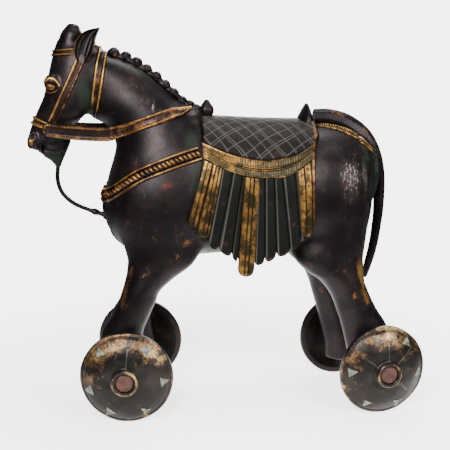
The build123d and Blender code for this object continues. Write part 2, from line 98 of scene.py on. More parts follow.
def full_turn(count):
    """Angles at equal steps round a circle."""
    return np.linspace(0, 2 * np.pi, count + 1)[:-1]


def upright(flat, y=0.0):
    """Side-view points (x, z) as points in space at y."""
    return np.stack([flat[..., 0], y + 0 * flat[..., 0], flat[..., 1]], -1)


def unit_rows(v):
    """Each row scaled to length one."""
    return v / np.maximum(np.linalg.norm(v, axis=-1, keepdims=True), 1e-9)


def tangents(path):
    """Unit direction of a path at each of its points."""
    return unit_rows(np.gradient(path, axis=0))


def run_along(path):
    """Distance along a path from its first point to each point."""
    return np.r_[0, np.cumsum(np.linalg.norm(np.diff(path, axis=0), axis=1))]


def smooth_through(points, count):
    """Catmull-Rom curve through the points, as count evenly numbered samples."""
    p = np.asarray(points, float)
    t = np.linspace(0, len(p) - 1, count)
    i = np.clip(t.astype(int), 0, len(p) - 2)
    f = (t - i)[:, None]
    ends = np.vstack([2 * p[0] - p[1], p, 2 * p[-1] - p[-2]])
    a, b, c, d = ends[i], ends[i + 1], ends[i + 2], ends[i + 3]
    return 0.5 * (2 * b + (c - a) * f + (2 * a - 5 * b + 4 * c - d) * f**2
                  + (3 * b - a - 3 * c + d) * f**3)


def at_equal_steps(path, count, closed=False):
    """Path resampled to count points at equal distances along it."""
    run = run_along(path)
    at = np.linspace(0, run[-1], count, endpoint=not closed)
    return np.stack([np.interp(at, run, path[:, k]) for k in range(path.shape[1])], 1)


def even_curve(points, count):
    """Catmull-Rom curve through the points, with its samples evenly spaced along it."""
    return at_equal_steps(smooth_through(points, 20 * len(points)), count)


def evened(points, step, closed=False):
    """Route resampled about every step."""
    path = np.vstack([points, points[:1]]) if closed else points
    return at_equal_steps(path, max(int(run_along(path)[-1] / step), 4), closed)


def relaxed(path, rounds):
    """Path whose inner points have moved to the 1:2:1 mean with their neighbours, rounds times."""
    path = path.copy()
    for _ in range(rounds):
        path[1:-1] = 0.25 * path[:-2] + 0.5 * path[1:-1] + 0.25 * path[2:]
    return path


# ---------------------------------------------------------------- camera, light and floor
# Light: name, place, what it faces, size in metres, watts
LIGHTS = [("key", (-260, -620, 560), (-10, 0, 150), 0.26, 12.0),
          ("fill", (430, -560, 420), (30, 0, 140), 0.24, 6.5),
          ("top", (40, 60, 780), (0, 0, 150), 0.30, 5.0),
          ("back", (160, 620, 420), (0, 0, 150), 0.40, 4.0)]
WORLD_LIGHT, WORLD_SHOWN = 0.16, 5.5
FLOOR_HALF, FLOOR_SOLID, FLOOR_GONE = 0.6, 0.10, 0.42  # metres


def place_camera():
    """Camera 656 mm from a point on the middle plane, 7.3 degrees to the front of square on,
    11.4 degrees above level and rolled one degree, with a 67 mm lens."""
    (cos_a, sin_a), (cos_e, sin_e), (cos_r, sin_r) = (cos_sin(v) for v in (-7.345, 11.381, 0.968))
    distance, target = 656.1, (-20.62, 0.0, 141.22)
    back = Vector((sin_a * cos_e, -cos_a * cos_e, sin_e))
    right = (-back).cross(Vector((0, 0, 1))).normalized()
    up = right.cross(-back)
    data = bpy.data.cameras.new("camera")
    data.sensor_width, data.lens, data.clip_start = 36.0, 67.056, 0.01
    camera = bpy.data.objects.new("camera", data)
    turn = Matrix((cos_r * right + sin_r * up, -sin_r * right + cos_r * up, back))
    spot = Vector(in_frame(np.array(target) + distance * np.array(back)))
    camera.matrix_world = Matrix.Translation(spot) @ turn.transposed().to_4x4()
    bpy.context.collection.objects.link(camera)
    bpy.context.scene.camera = camera


def build_lights():
    """White backdrop that lights the object less than it shows, and four soft square lights:
    high front left, front right, above and behind."""
    world = bpy.data.worlds.new("studio")
    world.use_nodes = True
    tree = world.node_tree
    shown = tree.nodes.new("ShaderNodeLightPath").outputs["Is Camera Ray"]
    strength = tree.nodes.new("ShaderNodeMapRange")
    strength.inputs["To Min"].default_value = WORLD_LIGHT
    strength.inputs["To Max"].default_value = WORLD_SHOWN
    tree.links.new(shown, strength.inputs["Value"])
    tree.links.new(strength.outputs["Result"], tree.nodes["Background"].inputs["Strength"])
    tree.nodes["Background"].inputs["Color"].default_value = (1, 1, 1, 1)
    bpy.context.scene.world = world
    for name, spot, aim, size, power in LIGHTS:
        data = bpy.data.lights.new(name, "AREA")
        data.size, data.energy = size, power
        light = bpy.data.objects.new(name, data)
        light.location = Vector(in_frame(spot))
        way = Vector(in_frame(aim)) - light.location
        light.rotation_euler = way.to_track_quat("-Z", "Y").to_euler()
        bpy.context.collection.objects.link(light)


def build_floor():
    """Pale square floor that fades out with the distance from the object."""
    mesh = bpy.data.meshes.new("floor")
    corners = [(x * FLOOR_HALF, y * FLOOR_HALF, 0) for x, y in ((-1, -1), (1, -1), (1, 1), (-1, 1))]
    mesh.from_pydata(corners, [], [(0, 1, 2, 3)])
    floor = bpy.data.objects.new("floor", mesh)
    bpy.context.collection.objects.link(floor)
    f = Finish("pale_floor")
    f.fix(Base_Color=(0.92, 0.92, 0.92, 1), Roughness=0.9, Emission_Color=(1, 1, 1, 1),
          Emission_Strength=2.2)
    reach = node(f.tree, "ShaderNodeVectorMath", operation="LENGTH")
    f.link(f.place, reach.inputs[0])
    f.drive("Alpha", f.fade(reach.outputs["Value"], FLOOR_SOLID, FLOOR_GONE, 0.9, 0.0, "SMOOTHERSTEP"))
    mesh.materials.append(f.mat)


# ---------------------------------------------------------------- mesh helpers
def signed_volume(points, faces):
    """Sum over triangles of the tetrahedra they make with the origin."""
    total = 0.0
    for k in range(1, faces.shape[1] - 1):
        a, b, c = points[faces[:, 0]], points[faces[:, k]], points[faces[:, k + 1]]
        total += np.einsum("ij,ij->i", a, np.cross(b, c)).sum() / 6
    return total


def outward_groups(points, groups):
    """Face groups, turned round if together they enclose a negative volume."""
    if sum(signed_volume(points, g) for g in groups) < 0:
        return [g[:, ::-1] for g in groups]
    return groups


def make_piece(name, points, groups, mat, *replaced, body=HORSE, slot_name=None, sharp=40.0, **levels):
    """A mesh piece from drawn points and groups of faces, which stands for CAD nodes and rides
    on a body. Each level becomes an attribute: one number for the piece, or one per point, with
    0 for points past the last number."""
    points = np.asarray(points, float)
    mesh = bpy.data.meshes.new(name)
    rows = [row for g in outward_groups(points, groups) for row in g.tolist()]
    mesh.from_pydata(in_frame(points).tolist(), [], rows)
    for key, values in levels.items():
        given = np.ravel(values)
        filled = np.zeros(len(points), np.float32)
        filled[:len(given) if np.ndim(values) else None] = given
        mesh.attributes.new(key, "FLOAT", "POINT").data.foreach_set("value", filled)
    mesh.shade_smooth()
    mesh.set_sharp_from_angle(angle=math.radians(sharp))
    mesh.materials.append(mat)
    piece = bpy.data.objects.new(name, mesh)
    bpy.context.collection.objects.link(piece)
    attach(piece, body)
    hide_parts(*replaced)


def grid_faces(rows, columns, wrap_rows=False, wrap_columns=False, start=0):
    """Quads of a rows by columns grid of points, joined end to end where asked."""
    r = np.arange(rows if wrap_rows else rows - 1)
    c = np.arange(columns if wrap_columns else columns - 1)
    r, c = np.meshgrid(r, c, indexing="ij")
    r2, c2 = (r + 1) % rows, (c + 1) % columns
    quads = np.stack([r * columns + c, r2 * columns + c, r2 * columns + c2, r * columns + c2], -1)
    return quads.reshape(-1, 4) + start


def solid_between(top, under):
    """Closed solid between two grids of points: both sheets and a wall round their edge."""
    rows, columns = top.shape[:2]
    count = rows * columns
    index = np.arange(count).reshape(rows, columns)
    edge = np.r_[index[:-1, 0], index[-1, :-1], index[:0:-1, -1], index[0, :0:-1]]
    after = np.roll(edge, -1)
    wall = np.stack([edge, after, after + count, edge + count], 1)
    sheets = [grid_faces(rows, columns), grid_faces(rows, columns, start=count)[:, ::-1]]
    return np.vstack([top.reshape(-1, 3), under.reshape(-1, 3)]), [np.vstack([*sheets, wall[:, ::-1]])]


def skin_along(rings, closed_path=False):
    """Closed surface over rings of points (path, round the section, xyz), with the two end
    rings capped by fans when the path isn't closed."""
    count, around = rings.shape[:2]
    points = rings.reshape(-1, 3)
    quads = grid_faces(count, around, wrap_rows=closed_path, wrap_columns=True)
    if closed_path:
        return points, [quads]
    points = np.vstack([points, rings[0].mean(0), rings[-1].mean(0)])
    ring = np.arange(around)
    after, last_ring = np.roll(ring, -1), (count - 1) * around
    first = np.stack([ring, after, np.full(around, len(points) - 2)], 1)
    last = np.stack([after + last_ring, ring + last_ring, np.full(around, len(points) - 1)], 1)
    return points, [quads, first, last]


def merge_parts(parts):
    """Several (points, face groups) as one."""
    points, faces, start = [], {3: [], 4: []}, 0
    for part_points, groups in parts:
        for g in outward_groups(part_points, groups):
            faces[g.shape[1]].append(g + start)
        points.append(part_points)
        start += len(part_points)
    return np.vstack(points), [np.vstack(g) for g in faces.values() if g]


def tube(path, radius, around=14):
    """Round section carried along a path; radius may change along it."""
    one = unit_rows(np.cross(tangents(path), np.array([0.0, 1.0, 0.0])))
    other = np.cross(tangents(path), one)
    phi = full_turn(around)[None, :, None]
    radius = np.broadcast_to(np.asarray(radius, float), (len(path),))[:, None, None]
    section = np.cos(phi) * one[:, None] + np.sin(phi) * other[:, None]
    return skin_along(path[:, None] + radius * section)


# ---------------------------------------------------------------- sculpted bodies as distance fields
def to_ellipsoid(u, v, w, a, b, c):
    """Nearly the distance to an ellipsoid: k (k - 1) over the slope, where k is the length of
    the place scaled by the three radii."""
    k = np.sqrt((u / a)**2 + (v / b)**2 + (w / c)**2) + 1e-6
    slope = np.sqrt((u / a**2)**2 + (v / b**2)**2 + (w / c**2)**2) + 1e-6
    return k * (k - 1) / slope


class Clay:
    """A block of evenly spaced cells that holds the distance to a shape, in millimetres:
    negative inside. Forms are added, joined softly, carved and cut, then skinned."""

    FAR = 12.0
    CHUNK = 24  # sections compared at a time
    ASIDE = 0.12  # share of a cell's offset along a section that counts when it is chosen

    def __init__(self, low, high, step):
        self.low, self.step = np.array(low, float), step
        self.shape = tuple(np.ceil((np.array(high) - self.low) / step).astype(int) + 1)
        self.field = np.full(self.shape, self.FAR, np.float32)
        self.axes = [self.low[k] + step * np.arange(self.shape[k]) for k in range(3)]

    def window(self, low, high):
        """Slices of the cells within a box, and their places along x, y and z."""
        cut = []
        for k in range(3):
            first = int(np.clip((low[k] - self.low[k]) // self.step, 0, self.shape[k] - 1))
            last = int(np.clip((high[k] - self.low[k]) // self.step + 2, first + 1, self.shape[k]))
            cut.append(slice(first, last))
        return tuple(cut), [axis[c] for axis, c in zip(self.axes, cut)]

    def join(self, cut, distance, blend):
        """Smooth least of the two distances: a fillet of about the blend's size."""
        old = self.field[cut]
        if blend > 0:
            h = np.clip(0.5 + 0.5 * (old - distance) / blend, 0, 1)
            self.field[cut] = old + (distance - old) * h - blend * h * (1 - h)
        else:
            self.field[cut] = np.minimum(old, distance)

    def carve(self, cut, distance, blend):
        """Smooth greatest of the field and minus the tool's distance."""
        old = self.field[cut]
        h = np.clip(0.5 - 0.5 * (old + distance) / blend, 0, 1)
        self.field[cut] = old + (-distance - old) * h + blend * h * (1 - h)

    def limb(self, sections, blend, caps=(3.0, 3.0), count=240):
        """Form through sections that stand across the middle plane. Each section is two
        opposite outline points (x, z, x, z), a half width and its place in y. A cell takes the
        section it lies on, and its distance there is that to an ellipse; past the first and the
        last section the form ends in half an ellipsoid as deep as caps says."""
        dense = smooth_through(sections, count)
        one, other, half_width, across = dense[:, 0:2], dense[:, 2:4], dense[:, 4], dense[:, 5]
        centre, depth = (one + other) / 2, np.linalg.norm(other - one, axis=1) / 2
        normal = (other - one) / (2 * depth[:, None])
        along = np.stack([-normal[:, 1], normal[:, 0]], 1)
        if (along[count // 2] @ (centre[count // 2 + 1] - centre[count // 2])) < 0:
            along = -along
        margin = blend + 5
        low = np.r_[dense[:, [0, 2]].min(), (across - half_width).min(), dense[:, [1, 3]].min()]
        high = np.r_[dense[:, [0, 2]].max(), (across + half_width).max(), dense[:, [1, 3]].max()]
        cut, (x, y, z) = self.window(low - margin, high + margin)
        flat_x, flat_z = (g.ravel() for g in np.meshgrid(x, z, indexing="ij"))
        best = np.full(flat_x.size, np.inf)
        nearest = np.zeros(flat_x.size, int)
        for first in range(0, count, self.CHUNK):
            part = slice(first, first + self.CHUNK)
            dx = flat_x[:, None] - centre[None, part, 0]
            dz = flat_z[:, None] - centre[None, part, 1]
            over = dx * along[None, part, 0] + dz * along[None, part, 1]
            out = dx * normal[None, part, 0] + dz * normal[None, part, 1]
            score = over**2 + self.ASIDE * out**2
            pick = score.argmin(1)
            value = score[np.arange(len(pick)), pick]
            better = value < best
            best[better], nearest[better] = value[better], pick[better] + first
        dx, dz = flat_x - centre[nearest, 0], flat_z - centre[nearest, 1]
        over = dx * along[nearest, 0] + dz * along[nearest, 1]
        gap = np.linalg.norm(np.gradient(centre, axis=0), axis=1) + 1e-6
        exact = np.clip(nearest + over / gap[nearest], 0, count - 1)

        def at(values):
            return np.interp(exact, np.arange(count), values)
        normal_x, normal_z = at(normal[:, 0]), at(normal[:, 1])
        dx, dz = flat_x - at(centre[:, 0]), flat_z - at(centre[:, 1])
        out = (dx * normal_x + dz * normal_z) / np.hypot(normal_x, normal_z)
        beyond = (-dx * normal_z + dz * normal_x) / np.hypot(normal_x, normal_z)
        out, beyond, a, b, place, exact = (v.reshape(len(x), 1, len(z)) for v in (
            out, beyond, at(depth), at(half_width), at(across), exact))
        cap = np.where(exact < count / 2, caps[0], caps[1])
        distance = to_ellipsoid(out, y[None, :, None] - place, beyond, a, b, cap)
        self.join(cut, np.clip(distance, -self.FAR, self.FAR).astype(np.float32), blend)

    def lump(self, centre, radii, blend, tilt=0.0, carve=False):
        """Ellipsoid, turned by tilt degrees in the side view, joined or carved."""
        centre, radii = np.array(centre, float), np.array(radii, float)
        margin = radii.max() + blend + 3
        cut, places = self.window(centre - margin, centre + margin)
        dx, dy, dz = np.meshgrid(*(p - c for p, c in zip(places, centre)), indexing="ij")
        c, s = cos_sin(tilt)
        distance = to_ellipsoid(dx * c + dz * s, dy, -dx * s + dz * c, *radii).astype(np.float32)
        (self.carve if carve else self.join)(cut, distance, blend)

    def slice_off(self, point, normal):
        """Keep what lies behind a plane square to the middle plane, given as (x, z)."""
        x, z = self.axes[0][:, None] - point[0], self.axes[2][None, :] - point[1]
        flat = (x * normal[0] + z * normal[1]) / math.hypot(*normal)
        self.field = np.maximum(self.field, flat[:, None, :].astype(np.float32))

    def value(self, points):
        """Distance at any points, by straight-line interpolation between cells."""
        q = (np.asarray(points, float) - self.low) / self.step
        q = np.clip(q, 0, np.array(self.shape) - 1.001)
        i = q.astype(int)
        f = q - i
        total = 0.0
        for corner in np.ndindex(2, 2, 2):
            weight = np.prod(np.where(np.array(corner), f, 1 - f), axis=-1)
            j = i + np.array(corner)
            total = total + weight * self.field[j[..., 0], j[..., 1], j[..., 2]]
        return total

    def outward(self, points):
        """Unit direction in which the distance grows, by central differences of 0.8 of a cell."""
        points = np.asarray(points, float)
        h = 0.8 * self.step
        parts = [self.value(points + h * e) - self.value(points - h * e) for e in np.eye(3)]
        return unit_rows(np.stack(parts, -1))

    def settle(self, points, height=0.0, rounds=4):
        """Points moved along the slope of the field until they lie at that height above it."""
        points = np.array(points, float)
        for _ in range(rounds):
            step = np.clip(self.value(points) - height, -1.6, 1.6)
            points = points - step[..., None] * self.outward(points)
        return points

    def flank(self, x, z, side):
        """The y of the surface at each (x, z), looking in from one side: the first crossing of
        a march from outside, or the middle plane where there is none."""
        x, z = np.broadcast_arrays(np.asarray(x, float), np.asarray(z, float))
        y = np.arange(abs(self.low[1]) - self.step, 0, -0.5)
        deep = x.shape + y.shape
        spots = [np.broadcast_to(v, deep) for v in (x[..., None], side * y, z[..., None])]
        inside = self.value(np.stack(spots, -1)) < 0
        fine = y[inside.argmax(-1)] + 0.5
        for step in (0.25, 0.125, 0.0625):
            test = np.stack([x, side * (fine - step), z], -1)
            fine = np.where(self.value(test) > 0, fine - step, fine)
        return np.where(inside.any(-1), side * fine, 0.0)

    def skin(self):
        """Surface points and faces: the zero level of the field, as quads and triangles."""
        grid = openvdb.FloatGrid(self.FAR)
        grid.copyFromArray(np.ascontiguousarray(self.field))
        points, triangles, quads = grid.convertToPolygons(0.0, 0.0)
        points = self.settle(points * self.step + self.low, rounds=2)
        return points, [np.asarray(g, int) for g in (quads, triangles) if len(g)]

    def boxed_in(self, points):
        """How enclosed each point is: the shortfall of the distance found at 3 and 7 mm out."""
        out = self.outward(points)
        short = sum(np.clip(1 - self.value(points + far * out) / far, 0, 1) for far in (3.0, 7.0))
        return np.clip(short, 0, 1)


# ---------------------------------------------------------------- finishes
def node(tree, kind, **settings):
    """A shader node with its properties set."""
    made = tree.nodes.new(kind)
    for key, value in settings.items():
        setattr(made, key, value)
    return made


class Level:
    """A value of a material's nodes. Arithmetic on it adds Math nodes."""

    def __init__(self, finish, socket):
        self.finish, self.socket = finish, socket

    def work(self, kind, other, clamp=False):
        """One arithmetic step with another level or a number."""
        made = node(self.finish.tree, "ShaderNodeMath", operation=kind, use_clamp=clamp)
        self.finish.link(self, made.inputs[0])
        if isinstance(other, Level):
            self.finish.link(other, made.inputs[1])
        else:
            made.inputs[1].default_value = other
        return Level(self.finish, made.outputs[0])

    def __add__(self, other):
        return self.work("ADD", other)

    def __sub__(self, other):
        return self.work("SUBTRACT", other)

    def __mul__(self, other):
        return self.work("MULTIPLY", other)

    def at_least(self, other):
        """The greater of this level and another."""
        return self.work("MAXIMUM", other)


class Finish:
    """Builder of one procedural material on object coordinates."""

    def __init__(self, name):
        self.mat = bpy.data.materials.new(name)
        self.mat.use_nodes = True
        self.tree = self.mat.node_tree
        self.shader = self.tree.nodes["Principled BSDF"]
        self.place = node(self.tree, "ShaderNodeTexCoord").outputs["Object"]

    def link(self, source, target):
        """A level or an output socket into an input socket."""
        self.tree.links.new(getattr(source, "socket", source), target)

    def fix(self, **constants):
        """Constants on the shader's own sockets, with _ for the space in a socket's name."""
        for key, value in constants.items():
            self.shader.inputs[key.replace("_", " ")].default_value = value

    def drive(self, key, source):
        """Nodes into one of the shader's sockets."""
        self.link(source, self.shader.inputs[key])

    def noise(self, scale, detail=3.0, rough=0.55, stretch=None, turn=(0, 0, 0)):
        """Noise with cells of about 1/scale metre; stretch draws it out along the axes."""
        made = node(self.tree, "ShaderNodeTexNoise")
        for key, value in (("Scale", scale), ("Detail", detail), ("Roughness", rough)):
            made.inputs[key].default_value = value
        source = self.place
        if stretch:
            mapping = node(self.tree, "ShaderNodeMapping")
            mapping.inputs["Scale"].default_value = stretch
            mapping.inputs["Rotation"].default_value = turn
            self.link(source, mapping.inputs["Vector"])
            source = mapping.outputs["Vector"]
        self.link(source, made.inputs["Vector"])
        return Level(self, made.outputs["Fac"])

    def attribute(self, name):
        """A number that the piece's mesh carries at each point."""
        return Level(self, node(self.tree, "ShaderNodeAttribute", attribute_name=name).outputs["Fac"])

    def fade(self, value, low, high, first=0.0, last=1.0, kind="SMOOTHSTEP"):
        """Smooth step from first to last, while a value goes from low to high."""
        made = node(self.tree, "ShaderNodeMapRange", interpolation_type=kind)
        self.link(value, made.inputs["Value"])
        for key, number in (("From Min", low), ("From Max", high), ("To Min", first), ("To Max", last)):
            made.inputs[key].default_value = number
        return Level(self, made.outputs["Result"])

    def blend(self, factor, one, other):
        """Mix of two colours, each made by nodes or an RGB triple."""
        made = node(self.tree, "ShaderNodeMix", data_type="RGBA")
        self.link(factor, made.inputs[0])
        for socket, value in ((made.inputs[6], one), (made.inputs[7], other)):
            if isinstance(value, tuple):
                socket.default_value = (*value, 1)
            else:
                self.link(value, socket)
        return Level(self, made.outputs[2])

    def bump(self, height, strength, distance):
        """Relief from a height between 0 and 1, as deep as distance in metres."""
        made = node(self.tree, "ShaderNodeBump")
        made.inputs["Strength"].default_value = strength
        made.inputs["Distance"].default_value = distance
        self.link(height, made.inputs["Height"])
        self.drive("Normal", made.outputs["Normal"])


STAIN, VERDIGRIS, SCRATCH_AND_HIGHLIGHT = (0.045, 0.02, 0.017), (0.0085, 0.0185, 0.0105), (0.24, 0.175, 0.155)
CUT_LINE, DEEP_SHADE = (0.105, 0.10, 0.085), (0.0016, 0.0012, 0.0012)
RUST_DARK, RUST_LIGHT = (0.040, 0.009, 0.005), (0.095, 0.026, 0.014)


def bronze(name, dark=(0.0150, 0.0098, 0.0108), deep=(0.0052, 0.0040, 0.0042),
           gilt=(0.34, 0.185, 0.050), brown=(0.10, 0.040, 0.013), base_wear=0.0, wear_gain=1.0,
           roughness=0.36, mottle=1.1, line_strength=0.75):
    """Old bronze: a dark lacquer-like patina clouded at 30 and 8 mm, green in the hollows
    ('green'), rubbed to gold where 'wear' is high, with pale scratched patches where the scuff
    mark is, which on the horse also paint highlights, pale cut lines where 'line' is, rust where
    'rust' is, and painted shade, near black, where 'shade' is."""
    f = Finish(name)
    cloud, spots, grain = f.noise(34, 4), f.noise(130, 5, 0.6), f.noise(620, 4, 0.65)
    colour = f.blend(f.fade(cloud, 0.35, 0.68), deep, dark)
    colour = f.blend(f.fade(spots, 0.58, 0.75, 0, 0.6), colour, STAIN)
    green = f.fade(f.attribute("green") + (spots - 0.5) * 0.9, 0.3, 1.15, 0, 0.85)
    colour = f.blend(green, colour, VERDIGRIS)
    worn = f.attribute("wear") * wear_gain + base_wear + (grain - 0.5) * 0.8 + (spots - 0.5) * mottle
    rubbed = f.fade(worn, 0.22, 0.5)
    bright = f.fade(worn + (cloud - 0.5) * 0.9, 0.36, 1.05)
    colour = f.blend(rubbed, colour, f.blend(bright, brown, gilt))
    lines = f.noise(120, 4, 0.65, stretch=(4.2, 1.0, 1.1), turn=(0.2, 0.75, 0.3))
    crossed = f.noise(110, 4, 0.65, stretch=(3.6, 1.0, 1.2), turn=(0.1, -0.35, 0.2))
    scratched = f.fade(lines, 0.52, 0.70).at_least(f.fade(crossed, 0.54, 0.72))
    scratches = scratched + f.fade(grain, 0.42, 0.75, 0, 0.7)
    # Pale scratched patches, which on the horse also stand for painted highlights on the haunch, neck
    # and forehead
    scuff = f.attribute("scuff").work("MULTIPLY", scratches, clamp=True)
    colour = f.blend(f.fade(scuff, 0.1, 1.0, 0, 0.75), colour, SCRATCH_AND_HIGHLIGHT)
    colour = f.blend(f.attribute("line") * line_strength, colour, CUT_LINE)
    rust = f.blend(f.fade(grain, 0.4, 0.7), RUST_DARK, RUST_LIGHT)
    colour = f.blend(f.attribute("rust"), colour, rust)
    # Painted shade: the base colour goes near black where the shade mark is, as in the ears' cups
    f.drive("Base Color", f.blend(f.attribute("shade"), colour, DEEP_SHADE))
    f.fix(Specular_IOR_Level=0.3)
    f.drive("Metallic", (rubbed * 0.85).at_least(scuff * 0.6).at_least(0.72))
    f.drive("Roughness", (spots * 0.22 + (roughness - 0.06)).work("ADD", green * 0.3, clamp=True))
    f.bump(spots * 0.7 + grain * 0.35 - scratched * 0.12, 0.35, 0.0006)
    return f.mat


def rusted_iron(name):
    """Wrought iron under matt red rust, pitted at 2 mm."""
    f = Finish(name)
    spots, grain = f.noise(200, 5, 0.65), f.noise(900, 4, 0.65)
    colour = f.blend(f.fade(spots, 0.38, 0.62), (0.026, 0.008, 0.006), (0.070, 0.020, 0.013))
    f.drive("Base Color", f.blend(f.fade(grain, 0.6, 0.8, 0, 0.5), colour, (0.10, 0.042, 0.028)))
    f.fix(Roughness=0.78, Metallic=0.15)
    f.bump(spots + grain * 0.4, 0.6, 0.0009)
    return f.mat


def chalky(name, pale, stained, roughness=0.7):
    """Matt mineral body stained in patches of 5 mm, such as the inlays and the clay core."""
    f = Finish(name)
    f.drive("Base Color", f.blend(f.fade(f.noise(260, 4, 0.6), 0.35, 0.66), stained, pale))
    f.fix(Roughness=roughness)
    f.bump(f.noise(900, 3, 0.6), 0.4, 0.0004)
    return f.mat


CAST = bronze("dark_cast_bronze")
STRAP = bronze("rubbed_strap_bronze", dark=(0.026, 0.013, 0.008), base_wear=-0.03, wear_gain=0.95,
               mottle=1.7)
GILT = bronze("worn_gilt_bronze", dark=(0.040, 0.027, 0.010), deep=(0.018, 0.015, 0.006),
              brown=(0.14, 0.068, 0.018), gilt=(0.35, 0.20, 0.048), base_wear=-0.1, mottle=2.1)
SEAT = bronze("engraved_seat_bronze", dark=(0.0095, 0.0062, 0.0062), deep=(0.0040, 0.0028, 0.0028),
              roughness=0.5, line_strength=0.6)
PLEAT = bronze("pleated_cloth_bronze", dark=(0.0046, 0.0048, 0.0038), deep=(0.0024, 0.0028, 0.0022),
               gilt=(0.20, 0.09, 0.03), roughness=0.55)
WHEEL = bronze("wheel_bronze", dark=(0.021, 0.0165, 0.0145), deep=(0.009, 0.0075, 0.0068),
               gilt=(0.40, 0.27, 0.125), brown=(0.085, 0.045, 0.02), roughness=0.34, mottle=1.6,
               line_strength=0.55)
RUST = rusted_iron("rusted_iron")
INLAY = chalky("pale_inlay", (0.19, 0.19, 0.145), (0.030, 0.040, 0.026))
CLAY = chalky("fired_clay", (0.36, 0.22, 0.14), (0.22, 0.13, 0.08), 0.9)

# Soft spots on the casting: x, z, half length, half height, tilt in degrees, amount
GREEN_SPOTS = [(-128, 243, 7, 20, 15, 0.75), (-140, 212, 14, 8, 0, 0.95), (-148, 191, 8, 9, 0, 1.0),
               (-50, 205, 8, 16, 0, 0.8), (-80, 230, 26, 4, 20, 0.4), (-82, 256, 32, 2.4, -38, 0.9),
               (-46, 175, 5, 26, 0, 0.8), (46, 190, 5, 34, 0, 0.6), (-60, 228, 10, 4, 20, 0.7),
               (-118, 250, 4, 26, 15, 0.6), (94, 190, 5, 30, 0, 0.5), (-88, 74, 3, 18, -20, 0.8),
               (-100, 66, 14, 8, 0, 0.5), (85, 70, 14, 9, 0, 0.5), (30, 125, 20, 8, 0, 0.5),
               (-30, 132, 16, 6, 0, 0.4), (-62, 168, 5, 14, 0, 0.35)]
WEAR_SPOTS = [(81.5, 109, 3.6, 14, 14, 0.9), (83.5, 127, 2.4, 12, 4, 0.45), (85, 92, 3.0, 9, 18, 0.6),
              (-94.5, 112, 2.2, 8, -12, 0.45), (-99.5, 94, 1.6, 13, -16, 0.5),
              (-84, 111, 6, 2, 20, 0.35), (-52, 135, 7, 4, 0, 0.45), (75, 92, 1.6, 4.6, 0, 0.65),
              (-166.5, 206, 2.6, 4, -15, 0.55), (-78, 140, 4, 3, 0, 0.3), (66, 112, 3.5, 3, 0, 0.3),
              (-60, 124, 3, 3, 0, 0.3)]
# The scuff spots are pale scratched patches that also paint the highlights on the haunch, neck and
# forehead
SCUFF_AND_HIGHLIGHT_SPOTS = [(70, 187, 11, 19, -6, 0.85), (-78, 235, 7, 3.4, -40, 0.9), (-87, 246, 6, 4, 0, 0.5),
               (-96, 243, 6, 4, 0, 0.35), (66, 156, 10, 7, 0, 0.35), (-95, 118, 2.5, 4, 0, 0.7),
               (-85, 170, 4, 12, 10, 0.25), (-60, 125, 12, 4, 30, 0.3), (94, 80, 5, 12, 20, 0.5),
               (-96, 84, 4, 12, -20, 0.3), (72, 118, 9, 6, 0, 0.3), (-147, 262, 3, 4, 0, 0.35)]
RUST_SPOTS = [(-68, 178, 3.6, 2.2, 15, 0.9), (62, 178, 1.6, 1.6, 0, 0.35)]


def patch(points, spots):
    """Soft spots: each fades with the square of the distance over its halves; the greatest
    counts."""
    total = np.zeros(len(points))
    for x, z, long, high, tilt, amount in spots:
        c, s = cos_sin(tilt)
        dx, dz = points[:, 0] - x, points[:, 2] - z
        u, w = (dx * c + dz * s) / long, (-dx * s + dz * c) / high
        total = np.maximum(total, amount * np.exp(-(u * u + w * w)))
    return total


# ---------------------------------------------------------------- the horse's drawn forms
# Trunk: place, underside, top, half width. The other forms: two opposite outline points,
# half width and, but for the tail, distance from the middle plane.
TORSO = [(-113.5, 150, 166, 8), (-109, 138, 183, 20), (-102, 129, 197, 27), (-92, 122.5, 208, 32),
         (-78, 118, 216, 35), (-60, 116, 221, 36), (-40, 119, 222, 36.5), (0, 121, 220.5, 37),
         (35, 119, 220, 37), (55, 113, 221, 38), (71, 109, 220, 37.5), (81, 116, 216, 33),
         (87, 138, 209, 25), (91.5, 160, 200, 15)]
NECK = [(-106, 178, -40, 214, 27, 0), (-104.5, 196, -46, 230.5, 25, 0), (-105.5, 208, -60, 239, 22, 0),
        (-111.5, 218.5, -72, 249, 19.5, 0), (-123, 226, -84, 259.5, 17, 0),
        (-131, 243, -99, 267, 14.5, 0), (-134, 256, -113, 271, 12, 0)]
HEAD = [(-147, 279, -117, 276, 9, 0), (-149.5, 272, -113, 268, 12.5, 0),
        (-152.5, 260, -115, 253, 14.5, 0), (-154.8, 250, -118, 241, 15, 0),
        (-157.5, 239, -124.5, 230, 13.5, 0), (-163, 227, -132.5, 220.5, 11.5, 0),
        (-167.7, 215, -137.5, 210, 10.5, 0), (-169.9, 206.5, -140.5, 203, 10.5, 0),
        (-169.3, 202, -142.5, 199, 9.6, 0), (-163, 200.4, -147, 197, 7.5, 0)]
TOPKNOT = [(-150, 266, -129, 265, 9.5, 0), (-147.3, 275, -130, 275, 8.8, 0),
           (-143.8, 285.5, -128.3, 283.8, 7.6, 0), (-139.5, 290.8, -130.2, 289.4, 4.6, 0)]
CHIN = [(-158.6, 201, -138.4, 206, 7.6, 0), (-158.2, 195.4, -142, 197, 6.6, 0),
        (-153.5, 192, -144, 192.5, 4.6, 0), (-150, 188, -145.6, 188.4, 2.6, 0)]
TAIL = [(47, 232, 47, 219, 5.5), (60, 232, 57, 218, 6.5), (76, 227.5, 69, 213, 7.5),
        (91.5, 216.5, 82, 204, 8), (101.2, 201, 91, 195, 8), (105.9, 182, 96.3, 178.5, 7.3),
        (106.4, 158, 98.4, 156.5, 6.6), (104.8, 138, 97.7, 137, 5.8), (102.6, 122, 95.6, 121, 5),
        (98.8, 107, 92.8, 107, 3.8), (95.6, 97.6, 93.2, 97.6, 1.8)]
